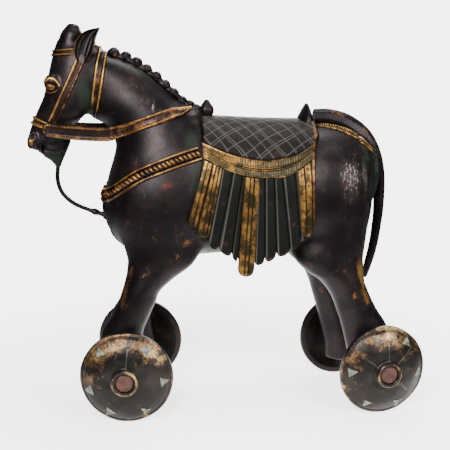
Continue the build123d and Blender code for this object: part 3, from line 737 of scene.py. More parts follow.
# Legs: height, middle, half length, half width, distance out, share that follows the axle
FORELEG = [(22, -98, 15.5, 11, 27, 1), (35, -99, 17.5, 12, 27, 1), (50, -101, 17, 11.8, 27, 1),
           (64, -101.2, 15.8, 11.6, 27, 1), (76, -95.5, 14.4, 11.8, 26.5, 0.95),
           (88, -90, 14.1, 12.3, 26, 0.8), (97, -86.5, 14.4, 13, 25, 0.5),
           (107, -79.5, 18.5, 14, 23.5, 0.25), (118, -71.5, 25, 15, 22, 0),
           (132, -71, 28, 14.5, 20.5, 0), (148, -74, 22, 12, 19, 0)]
HINDLEG = [(22, 94, 15.5, 11, 27, 1), (35, 94.5, 17.5, 12, 27, 1), (50, 91.5, 18.2, 11.8, 27, 1),
           (66, 87, 18, 11.6, 27, 1), (79, 80.5, 16, 11.8, 26.5, 0.95),
           (92, 74.3, 15.4, 12.3, 26, 0.8), (103, 67.8, 17.6, 14, 24.5, 0.5),
           (111, 61.6, 22.7, 15, 23.5, 0.25), (121, 56.6, 26, 16, 22, 0),
           (135, 60, 23, 16, 20.5, 0), (150, 66, 18.5, 13, 19, 0)]
NECK_CUT = ((-117.0, 252.0), (-0.989, 0.147))  # a point of the plane and its way to the head

joints = {joint["name"]: joint for joint in frame["joints"]}
axle_way = joints["front_left_wheel_spin"]["axis"]
toe = math.atan2(abs(axle_way[0]), abs(axle_way[1]))
HOOF_OUT = 27  # from the middle plane to the middle of a hoof


def leg_sections(table, end, side):
    """One leg's level sections as outline points, moved to where its axle passes. The axles
    are turned by the toe angle, so the far hooves stand nearer each other than the near ones."""
    shift = -end * HOOF_OUT * math.tan(toe) * (1 + side)
    return [(x - half + shift * follow, z, x + half + shift * follow, z, width, side * out)
            for z, x, half, width, out, follow in table]


def model_horse(clay):
    """Joins every form of the casting into one block of cells."""
    clay.limb([(x, low, x, high, half, 0) for x, low, high, half in TORSO], 0, caps=(2.0, 2.0))
    clay.limb(NECK, 12, caps=(20, 8))
    clay.lump((79.5, 0, 184.5), (18.2, 25.5, 24.5), 13)  # rump
    for _, side in SIDES:
        clay.limb(leg_sections(FORELEG, -1, side), 9, caps=(3, 22))
        clay.limb(leg_sections(HINDLEG, 1, side), 9, caps=(3, 22))
        clay.lump((-72, side * 24, 158), (27, 14, 30), 12)  # shoulder
        clay.lump((60, side * 24, 168), (25, 15.5, 32), 10)  # haunch
        clay.lump((66, side * 21, 132), (14, 16, 22), 8)
    clay.lump((-46.5, 0, 222.5), (8.5, 15, 10.2), 4)  # withers
    clay.limb(HEAD, 6)
    clay.limb(TOPKNOT, 1.5, caps=(6, 2))
    clay.limb(CHIN, 2, caps=(4, 1.5))
    for _, side in SIDES:
        clay.lump((-136, side * 8.5, 235.5), (11.5, 6.5, 14), 5, tilt=-15)  # jaw
        clay.lump((-150, side * 10.2, 249.5), (6.2, 4.6, 6.5), 2.5)  # brow, then the eye's hollow
        clay.lump((-152.2, side * 14.2, 246.8), (4.2, 2.6, 3.2), 0.8, carve=True)
        clay.lump((-165.8, side * 8.0, 207.5), (3.6, 3.0, 6.4), 2.6, tilt=-12)  # nose and nostril
        clay.lump((-165.4, side * 11.4, 211.0), (1.2, 3.2, 3.4), 0.9, tilt=-24, carve=True)
        clay.lump((-158.6, side * 10.5, 200.2), (0.9, 7.0, 6.5), 0.6, tilt=-6, carve=True)  # mouth
        clay.lump((-149.5, side * 12.5, 205), (6, 4.2, 5.5), 3, carve=True)


def sculpt(name, low, high, step, keep, *replaced):
    """One piece of the casting: modelled on its own cells and cut at the neck plane, with green
    in its hollows. Hands back the uncut cells, for straps to lie on."""
    clay = Clay(low, high, step)
    model_horse(clay)
    whole = copy.copy(clay)
    point, way = NECK_CUT
    clay.slice_off(point, (way[0] * keep, way[1] * keep))
    points, groups = clay.skin()
    hollows = 0.8 * np.clip(whole.boxed_in(points) - 0.12, 0, 1)
    make_piece(name, points, groups, CAST, *replaced, sharp=50,
               green=np.clip(patch(points, GREEN_SPOTS) + hollows, 0, 1), wear=patch(points, WEAR_SPOTS),
               scuff=patch(points, SCUFF_AND_HIGHLIGHT_SPOTS), rust=patch(points, RUST_SPOTS))
    return whole


body_clay = sculpt("cast_body", (-122, -50, 14), (110, 50, 290), 1.25, 1, "torso", "neck",
                   "left_foreleg", "right_foreleg", "left_hindleg", "right_hindleg")
head_clay = sculpt("cast_head", (-176, -24, 176), (-100, 24, 296), 0.65, -1, "head", "topknot",
                   "chin_boss")


# ---------------------------------------------------------------- straps and cords on the body
STRAP_SINK = 1.2  # how far a strap's back lies under the surface


def lay_strap(clay, path, width, heights, closed=False):
    """Strap on a surface: its grid is the path's points moved sideways by each share of the
    width, from -1 to 1, settled on the surface and raised by heights(share, distance along).
    It is rubbed with the square of its height. Gives points, faces and the rubbing."""
    path = clay.settle(path)
    tangent = unit_rows(np.roll(path, -1, 0) - np.roll(path, 1, 0)) if closed else tangents(path)
    side = unit_rows(np.cross(clay.outward(path), tangent))
    share = np.linspace(-1, 1, 15)[None, :]
    half = np.broadcast_to(np.asarray(width, float) / 2, (len(path),))
    base = clay.settle(path[:, None] + (share * half[:, None])[..., None] * side[:, None], rounds=3)
    out = clay.outward(base)
    rise = heights(share, run_along(path)[:, None])
    rings = np.concatenate([base + rise[..., None] * out, (base - STRAP_SINK * out)[:, ::-1]], 1)
    wear = np.concatenate([np.clip(rise / max(rise.max(), 0.1), 0, 1) ** 2, 0 * rise], 1)
    points, faces = skin_along(rings, closed)
    return points, faces, np.r_[wear.ravel(), np.zeros(len(points) - wear.size)]


def ridged(high, groove):
    """Heights with two raised edges and a groove between: high at two thirds out, low inside."""
    def heights(share, run):
        share = np.abs(share) + 0 * run
        edge = np.clip((1 - share) / 0.14, 0, 1) ** 0.5
        return (groove + (high - groove) * bell(share, 0.66, 0.24)) * edge
    return heights


def rounded(high):
    """Heights of a half round section."""
    return lambda share, run: high * np.sqrt(np.clip(1 - share**2, 0, 1)) + 0 * run


def girdle(clay, centre, forward, count, first=0.0, last=360.0, reach=60.0):
    """Where rays in an upright-crossing plane leave the body: centre + r (cos forward + sin y)."""
    closed = abs(last - first) >= 360
    angle = np.radians(np.linspace(first, last, count, endpoint=not closed))[:, None]
    forward = np.array([forward[0], 0, forward[1]]) / math.hypot(*forward)
    way = np.cos(angle) * forward + np.sin(angle) * np.array([0, -1.0, 0])
    r = np.arange(0.5, reach, 0.5)
    spots = np.array(centre, float) + r[None, :, None] * way[:, None]
    inside = clay.value(spots) < 0
    leave = np.where(inside.all(1), len(r) - 1, (~inside).argmax(1))
    return clay.settle(np.array(centre, float) + r[leave][:, None] * way)


def on_flank(clay, line, side, step=0.8):
    """A side-view line put on one flank of the body."""
    flat = even_curve(line, max(int(run_along(line)[-1] / step), 6))
    return clay.settle(upright(flat, clay.flank(flat[:, 0], flat[:, 1], side)))


def strap_piece(name, parts, mat, replaced, extra_wear=0.0):
    """One or more straps as one piece, rubbed on what stands proud."""
    wear = np.concatenate([w for _, _, w in parts])
    make_piece(name, *merge_parts([(p, f) for p, f, _ in parts]), mat, replaced, sharp=60,
               wear=np.clip(wear + extra_wear * (wear > 0), 0, 1.5))


# Bridle: browband, noseband, neck band that sinks towards its foot, and cheek straps that are
# lower along their rear edge
ring = evened(girdle(head_clay, (-139.5, 0, 271.6), (-1, -0.06), 90, -112, 112, reach=30), 0.6)
strap = lay_strap(head_clay, ring, 4.8, ridged(1.7, 0.5))
strap_piece("browband_ring", [strap], STRAP, "browband", -0.1)
ring = evened(girdle(head_clay, (-150, 0, 216.5), (-1, 0.36), 110, reach=40), 0.7, closed=True)
strap = lay_strap(head_clay, ring, 6.6, ridged(1.8, 0.7), closed=True)
strap_piece("noseband_ring", [strap], STRAP, "noseband", 0.15)
ring = evened(girdle(head_clay, (-117, 0, 252), (-8, -54), 130, reach=50), 0.8, closed=True)
fading = np.clip((ring[:, 2] - 222.5) / 11, 0.2, 1)
strap = lay_strap(head_clay, ring, 8.0 * np.clip(fading + 0.1, 0, 1),
                  lambda share, run: fading[:, None] * ridged(1.9, 0.6)(share, run), closed=True)
strap_piece("neck_band_ring", [strap], STRAP, "neck_band", 0.12)
CHEEK_LINE = [(-130.3, 265), (-136.4, 251), (-143.2, 236.5), (-150.8, 221)]
for hand, side in SIDES:
    strap = lay_strap(head_clay, on_flank(head_clay, CHEEK_LINE, side), 7.2,
                      lambda share, run, side=side: (1 - 0.4 * (share * side < 0))
                      * ridged(1.6, 0.5)(share, run))
    strap_piece(f"{hand}_cheek_strap", [strap], STRAP, f"{hand}_cheekpiece")

# Eyes: almond beads under arched lids
EYE, EYE_SIZE, EYE_TILT = (-151.2, 247.0), (4.4, 2.6, 2.6), 12
LIDS = [([(-155.3, 250.4), (-151.5, 252.9), (-147.4, 251.2), (-144.8, 247.2)], 2.3),
        ([(-155, 244.2), (-150.5, 243.0), (-146.4, 244.8)], 1.0)]
turn, tilt = np.meshgrid(full_turn(32), np.linspace(0.04, np.pi - 0.04, 17))
long = EYE_SIZE[0] * np.cos(turn) * np.sin(tilt) * (1 - 0.18 * np.abs(np.cos(turn)))
high = EYE_SIZE[2] * np.sin(turn) * np.sin(tilt)
c, s = cos_sin(EYE_TILT)
bead = 1.1 * np.stack([long * c + high * s, EYE_SIZE[1] * np.cos(tilt), -long * s + high * c], -1)
for hand, side in SIDES:
    y = float(head_clay.flank(*EYE, side)) - side * 0.4
    make_piece(f"{hand}_eye_bead", *skin_along(bead + np.array([EYE[0], y, EYE[1]])), STRAP,
               f"{hand}_eye", wear=0.5)
arches = [lay_strap(head_clay, on_flank(head_clay, line, side, 0.5), width, rounded(1.2))
          for _, side in SIDES for line, width in LIDS]
strap_piece("eyelid_arches", arches, STRAP, "eyelids", 0.05)

# Ears: cupped leaves with a rim and an inner ridge, opening outward. Their two edges run from
# the root to the tip; u goes along the leaf and v across it.
EAR_FRONT = [(-129.6, 262.5), (-133.6, 270), (-132.4, 280), (-126, 286.8), (-115.6, 289.8)]
EAR_REAR = [(-128.4, 262.7), (-123.2, 267.5), (-120.0, 275), (-118.8, 282.5), (-115.6, 289.8)]
u, v = np.meshgrid(np.linspace(0, 1, 44), np.linspace(-1, 1, 29), indexing="ij")
flat = between(even_curve(EAR_FRONT, 44)[:, None], even_curve(EAR_REAR, 44)[:, None],
               ((1 + v) / 2)[..., None])
belly = np.sin(np.pi * u) ** 0.7
inner = 0.8 * belly * bell(np.abs(v), 0.45, 0.10) * np.clip(np.sin(np.pi * (u * 1.25 - 0.1)), 0, 1)
rim = 0.9 * bell(np.abs(v), 0.97, 0.08) * belly
cup = 4.6 * belly * (np.abs(v) ** 2.2)
root = 13.6 - 5.0 * u
wear = np.clip(1.1 * (np.abs(v) > 0.9) * belly + 0.35 * inner + 0.9 * (u > 0.93), 0, 1) * 0.85
# Painted shade in each ear's cup: darkest across the middle of the leaf, less on the inner ridge
dark = np.clip(1.15 - 1.3 * v**2, 0, 1) * (1 - 0.5 * np.clip(inner / 0.6, 0, 1))
for hand, side in SIDES:
    opening = upright(flat, side * (root + cup + inner + rim))
    back = upright(flat, side * (root + cup * 0.86 - 1.9 - 1.2 * belly * (1 - v**2)))
    make_piece(f"{hand}_ear_leaf", *solid_between(opening, back), CAST, f"{hand}_ear",
               wear=[wear, wear * 0.7], shade=dark)

# Mane: a ridge with a row of twisted knobs. A knot is x, z, radius.
CREST = [(-108, 270.5), (-97, 267.2), (-87, 262), (-78, 255.8), (-69, 248.8), (-60.5, 241.2),
         (-51, 234), (-42, 229.5)]
KNOTS = [(-105.3, 273, 4.6), (-96.3, 270.8, 4.2), (-88, 266.8, 4.2), (-80.5, 261.7, 4.1),
         (-73.4, 256.3, 4.1), (-66.9, 250.3, 4.0), (-60.7, 244.3, 4.0), (-54.4, 239.0, 3.8),
         (-48.5, 236.0, 3.8), (-43.2, 233.2, 3.6)]
path = upright(even_curve(CREST, 90))
up = tangents(path)[:, [2, 1, 0]] * (-1, 0, 1)
phi = full_turn(24)
rings = path[:, None] + (3.2 * np.sin(phi))[None, :, None] * up[:, None]
rings[..., 1] += (3.7 + 0.5 * np.sin(np.arange(90) * 0.9))[:, None] * np.cos(phi)[None]
make_piece("mane_ridge", *skin_along(rings), CAST, "mane_crest", green=0.35)
parts, wears = [], []
turn, tilt = np.meshgrid(full_turn(40), np.linspace(0.05, np.pi - 0.05, 25))
ball = np.stack([0.92 * np.sin(tilt) * np.cos(turn), 1.12 * np.cos(tilt),
                 np.sin(tilt) * np.sin(turn)], -1)
for number, (x, z, radius) in enumerate(KNOTS):
    swell = 1 + 0.055 * np.cos(2 * turn + 3.2 * tilt + number) + 0.02 * np.sin(5 * turn - number)
    knob = ball * (radius * swell)[..., None] * (1.1, 1, 1)
    parts.append(skin_along(knob + np.array([x - 0.7, 0.0, z - 1.7])))
    wears.append(np.r_[(swell.ravel() - 1) * 2.2, 0, 0])
make_piece("mane_knobs", *merge_parts(parts), CAST, "mane_knots",
           wear=np.clip(np.concatenate(wears), 0, 0.12), green=0.25)

# Reins: free straps from the noseband to the neck, then lying on it up to the saddle. They end
# in a round cap at the noseband, and their edges are raised.
REIN_LINE = [(-158.5, 216.3), (-145, 214.8), (-125, 213.6), (-110, 213.8), (-100, 216), (-88, 220.5),
             (-75, 225), (-60, 230.2), (-49, 234.6)]
REIN_PLAN = [(-163, 13.8), (-150, 14.4), (-130, 17.5), (-112, 21), (-100, 23.3), (-88, 24.2),
             (-76, 23.2), (-66, 20), (-57, 14.5), (-48, 7.5), (-42, 4)]
REIN_HALF = 5.2
flat, plan = even_curve(REIN_LINE, 170), smooth_through(REIN_PLAN, 200)
for hand, side in SIDES:
    planned = np.interp(flat[:, 0], plan[:, 0], plan[:, 1])
    surface = np.abs(body_clay.flank(flat[:, 0], flat[:, 1], side))
    surface = np.where(surface > 1, surface, planned)
    y = between(planned, surface + 0.4, eased((flat[:, 0] + 110) / 14))
    y = np.maximum(y, np.abs(head_clay.flank(flat[:, 0], flat[:, 1], side)) + 0.5)
    path = evened(relaxed(upright(flat, side * y), 6), 0.8)
    level_out = unit_rows(np.cross(tangents(path), np.array([0, 0, 1.0])))
    level_out *= np.sign(level_out[:, 1:2] * side)
    lying = np.clip((path[:, 0] + 110) / 14, 0, 1)[:, None]
    out = unit_rows(between(level_out, body_clay.outward(path), lying))
    across = unit_rows(np.cross(out, tangents(path)))
    run = run_along(path)[:, None]
    in_cap = np.clip(REIN_HALF - run, 0, REIN_HALF)
    half_here = np.sqrt(np.maximum(REIN_HALF**2 - in_cap**2, 0.3)) * (1 - 0.14 * lying)
    half_here = half_here * np.clip((run[-1] - run) / 14 + 0.35, 0, 1)
    aside = np.linspace(-1, 1, 17)[None, :] * half_here
    edge = np.where(in_cap > 0, REIN_HALF - np.hypot(in_cap, aside), half_here - np.abs(aside))
    ridge = bell(edge, 1.3, 0.85)
    rise = (0.9 + 1.0 * ridge) * np.clip(edge / 0.5, 0, 1) ** 0.5 + 0.15
    base = path[:, None] + aside[..., None] * across[:, None]
    hug = lying * np.clip(0.2 - body_clay.value(base), -2.5, 2.5)
    base = base + hug[..., None] * body_clay.outward(base)
    under = base - (0.9 + 0.5 * ridge * (1 - lying))[..., None] * out[:, None]
    rings = np.concatenate([base + rise[..., None] * out[:, None], under[:, ::-1]], 1)
    make_piece(f"{hand}_rein_strap", *skin_along(rings), STRAP, f"{hand}_rein", sharp=60,
               wear=np.concatenate([0.12 + ridge * 0.42 + 0.2 * lying, ridge[:, ::-1] * 0.3], 1))

# Martingale rod: from the chin down to the chest, then a ridge down the breast
ROD = [(-147.6, 192), (-148.6, 178), (-145.4, 167.5), (-137.5, 159.6), (-126.5, 154.4),
       (-116, 150.8), (-108, 147.5)]
BREAST_RIDGE = [(-111.5, 150), (-110.5, 143), (-107.5, 136), (-102.5, 130), (-95, 125)]
path = upright(even_curve(ROD, 80))
knob = 1.0 * bell(path[:, 0], -121, 2.2) + 0.5 * bell(path[:, 0], -112, 5)
down = body_clay.settle(upright(even_curve(BREAST_RIDGE, 60)), 0.4)
parts = [tube(path, 1.6 + knob), tube(down, np.linspace(1.8, 0.5, 60))]
make_piece("martingale_stem", *merge_parts(parts), CAST, "martingale_rod")

# Breast collar: a twisted rope between two plain cords, round the chest to the saddle
route = girdle(body_clay, (-44, 0, 199.0), (-1, -0.40), 260, -90, 90, reach=90)
route[:, 2] += 1.8 + 2.4 * np.sin(np.pi * np.clip((route[:, 0] + 113) / 70, 0, 1))
route[:, 2] -= 6.8 * eased((-86 - route[:, 0]) / 27)
route = relaxed(evened(body_clay.settle(route), 0.8), 14)
route = evened(body_clay.settle(route), 0.6)


def twisted(share, run):
    """Strands wound across the rope: the height follows waves slanted to the run."""
    wave = np.abs(np.sin(np.pi * (run / 3.3 + 0.42 * share)))
    return (1.3 + 1.7 * wave ** 0.8) * np.sqrt(np.clip(1 - share**2, 0, 1)) ** 0.8


strap = lay_strap(body_clay, route, 5.4, twisted)
strap_piece("breast_rope_twist", [strap], STRAP, "breast_rope", -0.12)
sideways = unit_rows(np.cross(body_clay.outward(route), tangents(route)))
cords = [lay_strap(body_clay, evened(body_clay.settle(route + away * sideways), 0.9), 2.5, rounded(1.7))
         for away in (-4.2, 4.2)]
strap_piece("breast_rope_cords", cords, STRAP, "breast_rope_borders", -0.25)

# Tail: rings of the drawn sections with combed creases
dense = smooth_through(TAIL, 150)
one, other = dense[:, 0:2], dense[:, 2:4]
depth = np.linalg.norm(one - other, axis=1)[:, None] / 2
phi = full_turn(96)[None, :]
comb = 1 - 0.06 * np.abs(np.sin(4 * phi)) ** 0.5 * np.clip(np.linspace(0.4, 1.2, 150), 0, 1)[:, None]
comb = comb + 0.02 * np.sin(phi * 7 + 1.3)
out_way = ((one - other) / (2 * depth))[:, None]
flat = ((one + other) / 2)[:, None] + (np.cos(phi) * depth * comb)[..., None] * out_way
inside = (np.cos(phi) < -0.3) * 0.5
make_piece("cast_tail", *skin_along(upright(flat, np.sin(phi) * dense[:, 4:5] * comb)), CAST, "tail",
           green=np.maximum(np.clip((1 - comb) * 9, 0, 1) * 0.45, inside),
           wear=0.20 * (np.cos(phi) > 0.5) * np.ones_like(comb))

# Crupper: a ribbed gilt strap a side, from the saddle to the tail
CRUPPER_LINE = [(46, 219.5), (56, 219.3), (68, 216.6), (79, 210.5), (90.5, 200)]


def ribbed(share, run):
    """Two raised edges, with ribs cut across between them every 1.5 mm."""
    return ridged(1.5, 0.9)(share, run) - 0.45 * (np.abs(share) < 0.75) * (np.sin(run * 4.2) > 0.2)


for hand, side in SIDES:
    route = relaxed(on_flank(body_clay, CRUPPER_LINE, side, 0.5), 12)
    width = 6.6 * np.sin(np.pi * np.linspace(0.12, 0.94, len(route))) ** 0.6
    strap_piece(f"{hand}_crupper_strap", [lay_strap(body_clay, route, width, ribbed)], GILT,
                f"{hand}_crupper", -0.1)


# ---------------------------------------------------------------- saddle
SEAT_EDGE = [(-42, 209), (-20, 200.5), (3, 196.5), (25, 200), (40.5, 208)]
UPPER_EDGE = [(-42, 203.5), (-20, 194), (3, 190), (25, 194), (40, 203)]
LOWER_EDGE = [(-41.5, 198), (-20, 187.5), (5, 183.5), (22, 185.5), (39.5, 197)]
SEAT_FRONT, SEAT_REAR, SEAT_THICK, SEAT_ROUND = -42, 46.5, 5.0, 44.0
torso_table = smooth_through(TORSO, 400)


def back_shape(x):
    """Middle height, half height and half width of the body's section at x."""
    low, high, half = (np.interp(x, torso_table[:, 0], torso_table[:, k]) for k in (1, 2, 3))
    return (low + high) / 2, (high - low) / 2, half


def drape(x, z, side, grow):
    """Points on the horse's back grown by a thickness: its section above the widest level,
    straight down below it."""
    middle_z, rise, half = back_shape(x)
    lift = np.clip((z - middle_z) / (rise + grow), 0, 0.999)
    return np.stack([x, side * (half + grow) * np.sqrt(1 - lift**2), z], -1)


def drape_sheet(x, z, side, height, under):
    """Closed sheet on the drape: its face at the given height over it, its back at under."""
    return solid_between(drape(x, z, side, height), drape(x, z, side, under))


def lines_at(value, spacing, wide):
    """1 on lines at the spacing, fading with the square of the distance over their half width."""
    return bell(np.abs((value / spacing) % 1 - 0.5) * spacing, 0, wide)


# Seat: swept over the back between its two edge curves, cut with a slanting lattice. Angles
# from straight up, times SEAT_ROUND, are lengths across the seat.
x_line = np.linspace(SEAT_FRONT, SEAT_REAR, 168)
seat_low = smooth_through(SEAT_EDGE, 300)
z_edge = np.interp(x_line, seat_low[:, 0], seat_low[:, 1]) + np.clip(x_line - 40.5, 0, 9) * 1.2
mid_z, rise_z, half_y = (level[:, None] for level in back_shape(x_line))
limit = np.arccos(np.clip((z_edge[:, None] - mid_z) / (rise_z + SEAT_THICK), -1, 1))
turn = np.linspace(-1, 1, 221)[None, :] * limit
across_run, along_run = turn * SEAT_ROUND, x_line[:, None] + 0 * turn
wobble = 0.5 * np.sin(along_run * 0.21) + 0.6 * np.sin(across_run * 0.17 + along_run * 0.05)
steep = along_run * 0.80 - np.abs(across_run) * 0.62 + wobble
shallow = along_run * 0.55 + np.abs(across_run) * 0.86 + wobble * 0.7
cuts = np.maximum(lines_at(steep, 8.2, 0.27), 0.8 * lines_at(shallow, 8.8, 0.27))
paired = np.maximum(lines_at(steep + 1.9, 24.6, 0.25), lines_at(shallow + 1.9, 26.4, 0.25))
border = np.clip((limit - np.abs(turn)) * SEAT_ROUND / 1.5, 0, 1)
ends = np.clip(np.minimum(along_run - SEAT_FRONT, SEAT_REAR - along_run) / 1.6, 0, 1)
cuts = np.maximum(cuts, 0.85 * paired) * border * ends
rear_roll = bell(along_run, 43.5, 2.0)
grow = SEAT_THICK * (0.55 + 0.45 * np.sqrt(ends * border)) - 0.38 * cuts + 0.9 * rear_roll
seat_top, seat_under = (
    np.stack([along_run, (half_y + out) * np.sin(turn), mid_z + (rise_z + out) * np.cos(turn)], -1)
    for out in (grow, 0.2))
make_piece("saddle_seat_engraved", *solid_between(seat_top, seat_under), SEAT, "saddle_seat",
           line=cuts, wear=0.45 * rear_roll)

# Two gilt bands a side, with raised edges and cut ticks: name, upper and lower edge, tone
BANDS = [("upper", SEAT_EDGE, UPPER_EDGE, 0.25), ("lower", UPPER_EDGE, LOWER_EDGE, 0.12)]
v = np.linspace(0, 1, 15)
edge = bell(np.minimum(v, 1 - v), 0.10, 0.09)[None, :]
for name, upper, lower, tone in BANDS:
    flat = between(even_curve(upper, 190)[:, None], even_curve(lower, 190)[:, None], v[:, None])
    x, z = flat[..., 0], flat[..., 1]
    tick = ((np.sin(x * 2 * np.pi / 1.9) > 0.35) & (x > -18) & (x < 30)) * (edge < 0.3)
    swell = 3.2 + 0.55 * edge + 0.5 * arch(v) - 0.38 * tick - 1.3 * (np.minimum(v, 1 - v) < 0.02)
    bright = 1.3 * tone * np.clip(1 - np.abs(x + 30) / 60, 0.25, 1) - 0.4 * np.clip((x - 12) / 10, 0, 1)
    wear = np.clip(0.20 + bright + 0.3 * edge - 0.35 * tick, 0, 1.3)
    for hand, side in SIDES:
        make_piece(f"{hand}_{name}_band_gilt", *drape_sheet(x, z, side, swell, 0.3), GILT,
                   f"{hand}_{name}_saddle_band", sharp=60, wear=wear, green=0.12)

# Cloth: eleven pleats a side between their top and hem corners, each with a thin pale fold
PLEAT_TOPS = [-41.5, -35, -28, -20, -12.7, -10.5, -1.5, 3.5, 10.5, 16.5, 26, 39.5]
HEM = [(-51.5, 151), (-45, 144), (-38, 137.5), (-30, 133), (-20, 128), (-15.5, 124), (-3, 121.5),
       (5, 123.5), (13.7, 127.5), (24, 131), (31.8, 138), (41, 147)]
PLEAT_STEPS = 9
pleat = np.arange(PLEAT_STEPS * (len(HEM) - 1) + 1) / PLEAT_STEPS
local = pleat % 1
local[-1] = 1.0
corner = np.arange(len(HEM))
top_x, low_x, low_z = (np.interp(pleat, corner, row) for row in (PLEAT_TOPS, *np.array(HEM, float).T))
low_z = low_z - 4.2 * arch(local)
lower_dense = smooth_through(LOWER_EDGE, 300)
top_z = np.interp(top_x, lower_dense[:, 0], lower_dense[:, 1]) + 1.0
v = np.linspace(0, 1, 70)
x, z = between(top_x[:, None], low_x[:, None], v), between(top_z[:, None], low_z[:, None], v)
thin = bell(local[:, None], 0.11, 0.05)
swell = 1.3 + 1.5 * arch(local)[:, None] + 0.7 * thin + 0.25 * v - 1.1 * (v > 0.985)
for hand, side in SIDES:
    make_piece(f"{hand}_cloth_pleats", *drape_sheet(x, z, side, swell, -0.6), PLEAT,
               f"{hand}_saddle_cloth", sharp=50, green=0.16, line=thin + 0 * x,
               wear=0.26 * np.clip((v - 0.93) / 0.05, 0, 1) + 0 * x)

# Gilt strips over the cloth, round at the foot and grooved lengthwise: top front and back
# corners, low front and back corners, how far the foot hangs, and the grooves' shares across
STRIPS = {"front": [((-41.3, 196.5), (-35.2, 193.9), (-53, 151), (-46.6, 149), 2.6, (0.5,)),
                    ((-34.7, 193.7), (-28, 190.6), (-46, 144.5), (-37, 143), 4.2, (0.35, 0.7))],
          "centre": [((-11.5, 184.6), (-0.5, 183.4), (-15.4, 115), (-3.2, 115), 5.2, (0.36, 0.62))],
          "rear": [((27.5, 188), (39.3, 196.6), (32.0, 143), (41.2, 145), 4.2, (0.42, 0.86))]}
u, v = np.linspace(0, 1, 25)[:, None], np.linspace(0, 1, 90)
side_drop = np.clip(np.minimum(u, 1 - u) / 0.09, 0, 1) ** 0.5
for place_name, strips in STRIPS.items():
    for hand, side in SIDES:
        parts, wears = [], []
        for *corners, foot, grooves in strips:
            top_front, top_back, low_front, low_back = (np.array(corner) for corner in corners)
            front, back = (between(top, low, v[:, None]) for top, low in
                           ((top_front, low_front), (top_back, low_back)))
            flat = between(front[None], back[None], u[..., None])
            x, z = flat[..., 0], flat[..., 1] - foot * arch(u) * v**3
            cut = sum(bell(u, groove, 0.035) for groove in grooves)
            swell = 2.9 + 1.25 * side_drop - 0.75 * cut + 0.3 * np.sin(np.pi * u) - 1.0 * (v > 0.985)
            parts.append(drape_sheet(x, z, side, swell, 1.2))
            wear = 0.55 - 0.6 * cut - 0.2 * v**2 + 0.2 * (side_drop < 0.9)
            wears += [wear, 0 * wear]
        make_piece(f"{hand}_{place_name}_strips_gilt", *merge_parts(parts), GILT,
                   f"{hand}_{place_name}_tassels", sharp=55, wear=wears, green=0.22)

# Pommel: a bud on a short neck; cantle: a flat flame with a rim that runs down both sides
BUD_X, BUD_FOOT, BUD_TOP, BUD_R = -36.2, 226, 238.7, 4.2
z = np.concatenate([np.linspace(222.6, BUD_FOOT, 6)[:-1], np.linspace(BUD_FOOT, BUD_TOP, 26)])[:, None]
share = np.clip((z - BUD_FOOT) / (BUD_TOP - BUD_FOOT), 0, 1)
phi = full_turn(48)[None, :]
radius = np.where(z < BUD_FOOT, BUD_R, BUD_R + 1.5 * np.sin(np.pi * np.clip(share * 1.25, 0, 1)))
radius = radius * np.sqrt(np.clip(1 - share**2.4, 0.0004, 1))
radius = radius * (1 + 0.035 * np.cos(6 * phi) * np.sin(np.pi * share))
rings = np.stack([BUD_X + radius * np.cos(phi), radius * np.sin(phi), z + 0 * phi], -1)
make_piece("pommel_bud", *skin_along(rings), CAST, "saddle_pommel", wear=0.08)
RIM_LINE = [(45.6, 224.5), (43.4, 216), (41, 205), (39.6, 190), (39.8, 170), (40.6, 150)]
share = np.linspace(0, 1, 30)[:, None]
long = 8.6 * (1 - share**1.15) + 0.25
wide = 14.6 * np.sqrt(np.clip(1 - share**2, 0.0005, 1))
rings = np.stack([39.6 + 0.8 * share + long * np.cos(phi) + 1.2 * np.sin(phi) ** 2,
                  wide * np.sin(phi), 217 + 19.4 * share + 0 * phi], -1)
parts, wears = [skin_along(rings)], [(0.75 * bell(phi, 0, 0.5) * (share > 0.2)).ravel(), [0, 0]]
flat = even_curve(RIM_LINE, 120)
for _, side in SIDES:
    parts.append(tube(drape(flat[:, 0], flat[:, 1], side, 2.4), np.linspace(1.9, 1.3, 120)))
    wears.append(np.full(len(parts[-1][0]), 0.42))
make_piece("cantle_flame_and_rim", *merge_parts(parts), CAST, "saddle_cantle", slot_name="saddle_bronze",
           wear=np.concatenate(wears))

# ---------------------------------------------------------------- wheels
WHEEL_R, HUB_R, BORE_R, SINK_R, AXLE_X = 35.0, 10.0, 5.06, 6.95, 92.0
RIM_T, DOME_H, HUB_LEN, SINK_FLOOR, DISH = 4.6, 13.2, 17.4, 13.0, 7.6
WHEEL_BACK = 41.4
INLAY_R, INLAY_CORNERS = 28.0, (0.35, 2.35, 4.55)
dome_curve = np.poly1d(np.polyfit([HUB_R, 24.5, 34.2], [DOME_H, 10.39, RIM_T], 2))
# Degrees clockwise from up, seen from outside: the six inlays, the cut lines, and the rubbed
# stretches as middle, half width and amount
MARKS = {"rear_left": [-17, 36, 95, 156, -149, -86], "front_left": [-43, 32, 91, 148, -155, -108],
         "front_right": [12, 72, 132, -168, -108, -48], "rear_right": [-12, 48, 108, 168, -132, -72]}
CUTS = {"rear_left": [-55, 48, 130, 2], "front_left": [4], "front_right": [20, -70], "rear_right": [75]}
RUBS = {"front_left": [(-35, 40, 1.0), (30, 34, 0.7), (-90, 28, 0.45), (150, 25, 0.3)],
        "rear_left": [(8, 32, 0.9), (45, 24, 0.5), (-60, 26, 0.5), (-110, 22, 0.35)],
        "front_right": [(-20, 60, 0.4)], "rear_right": [(-60, 40, 0.5)]}


def degrees_apart(one, other):
    """Angle between two directions, from 0 to 180 degrees."""
    return np.abs((one - other + 180) % 360 - 180)


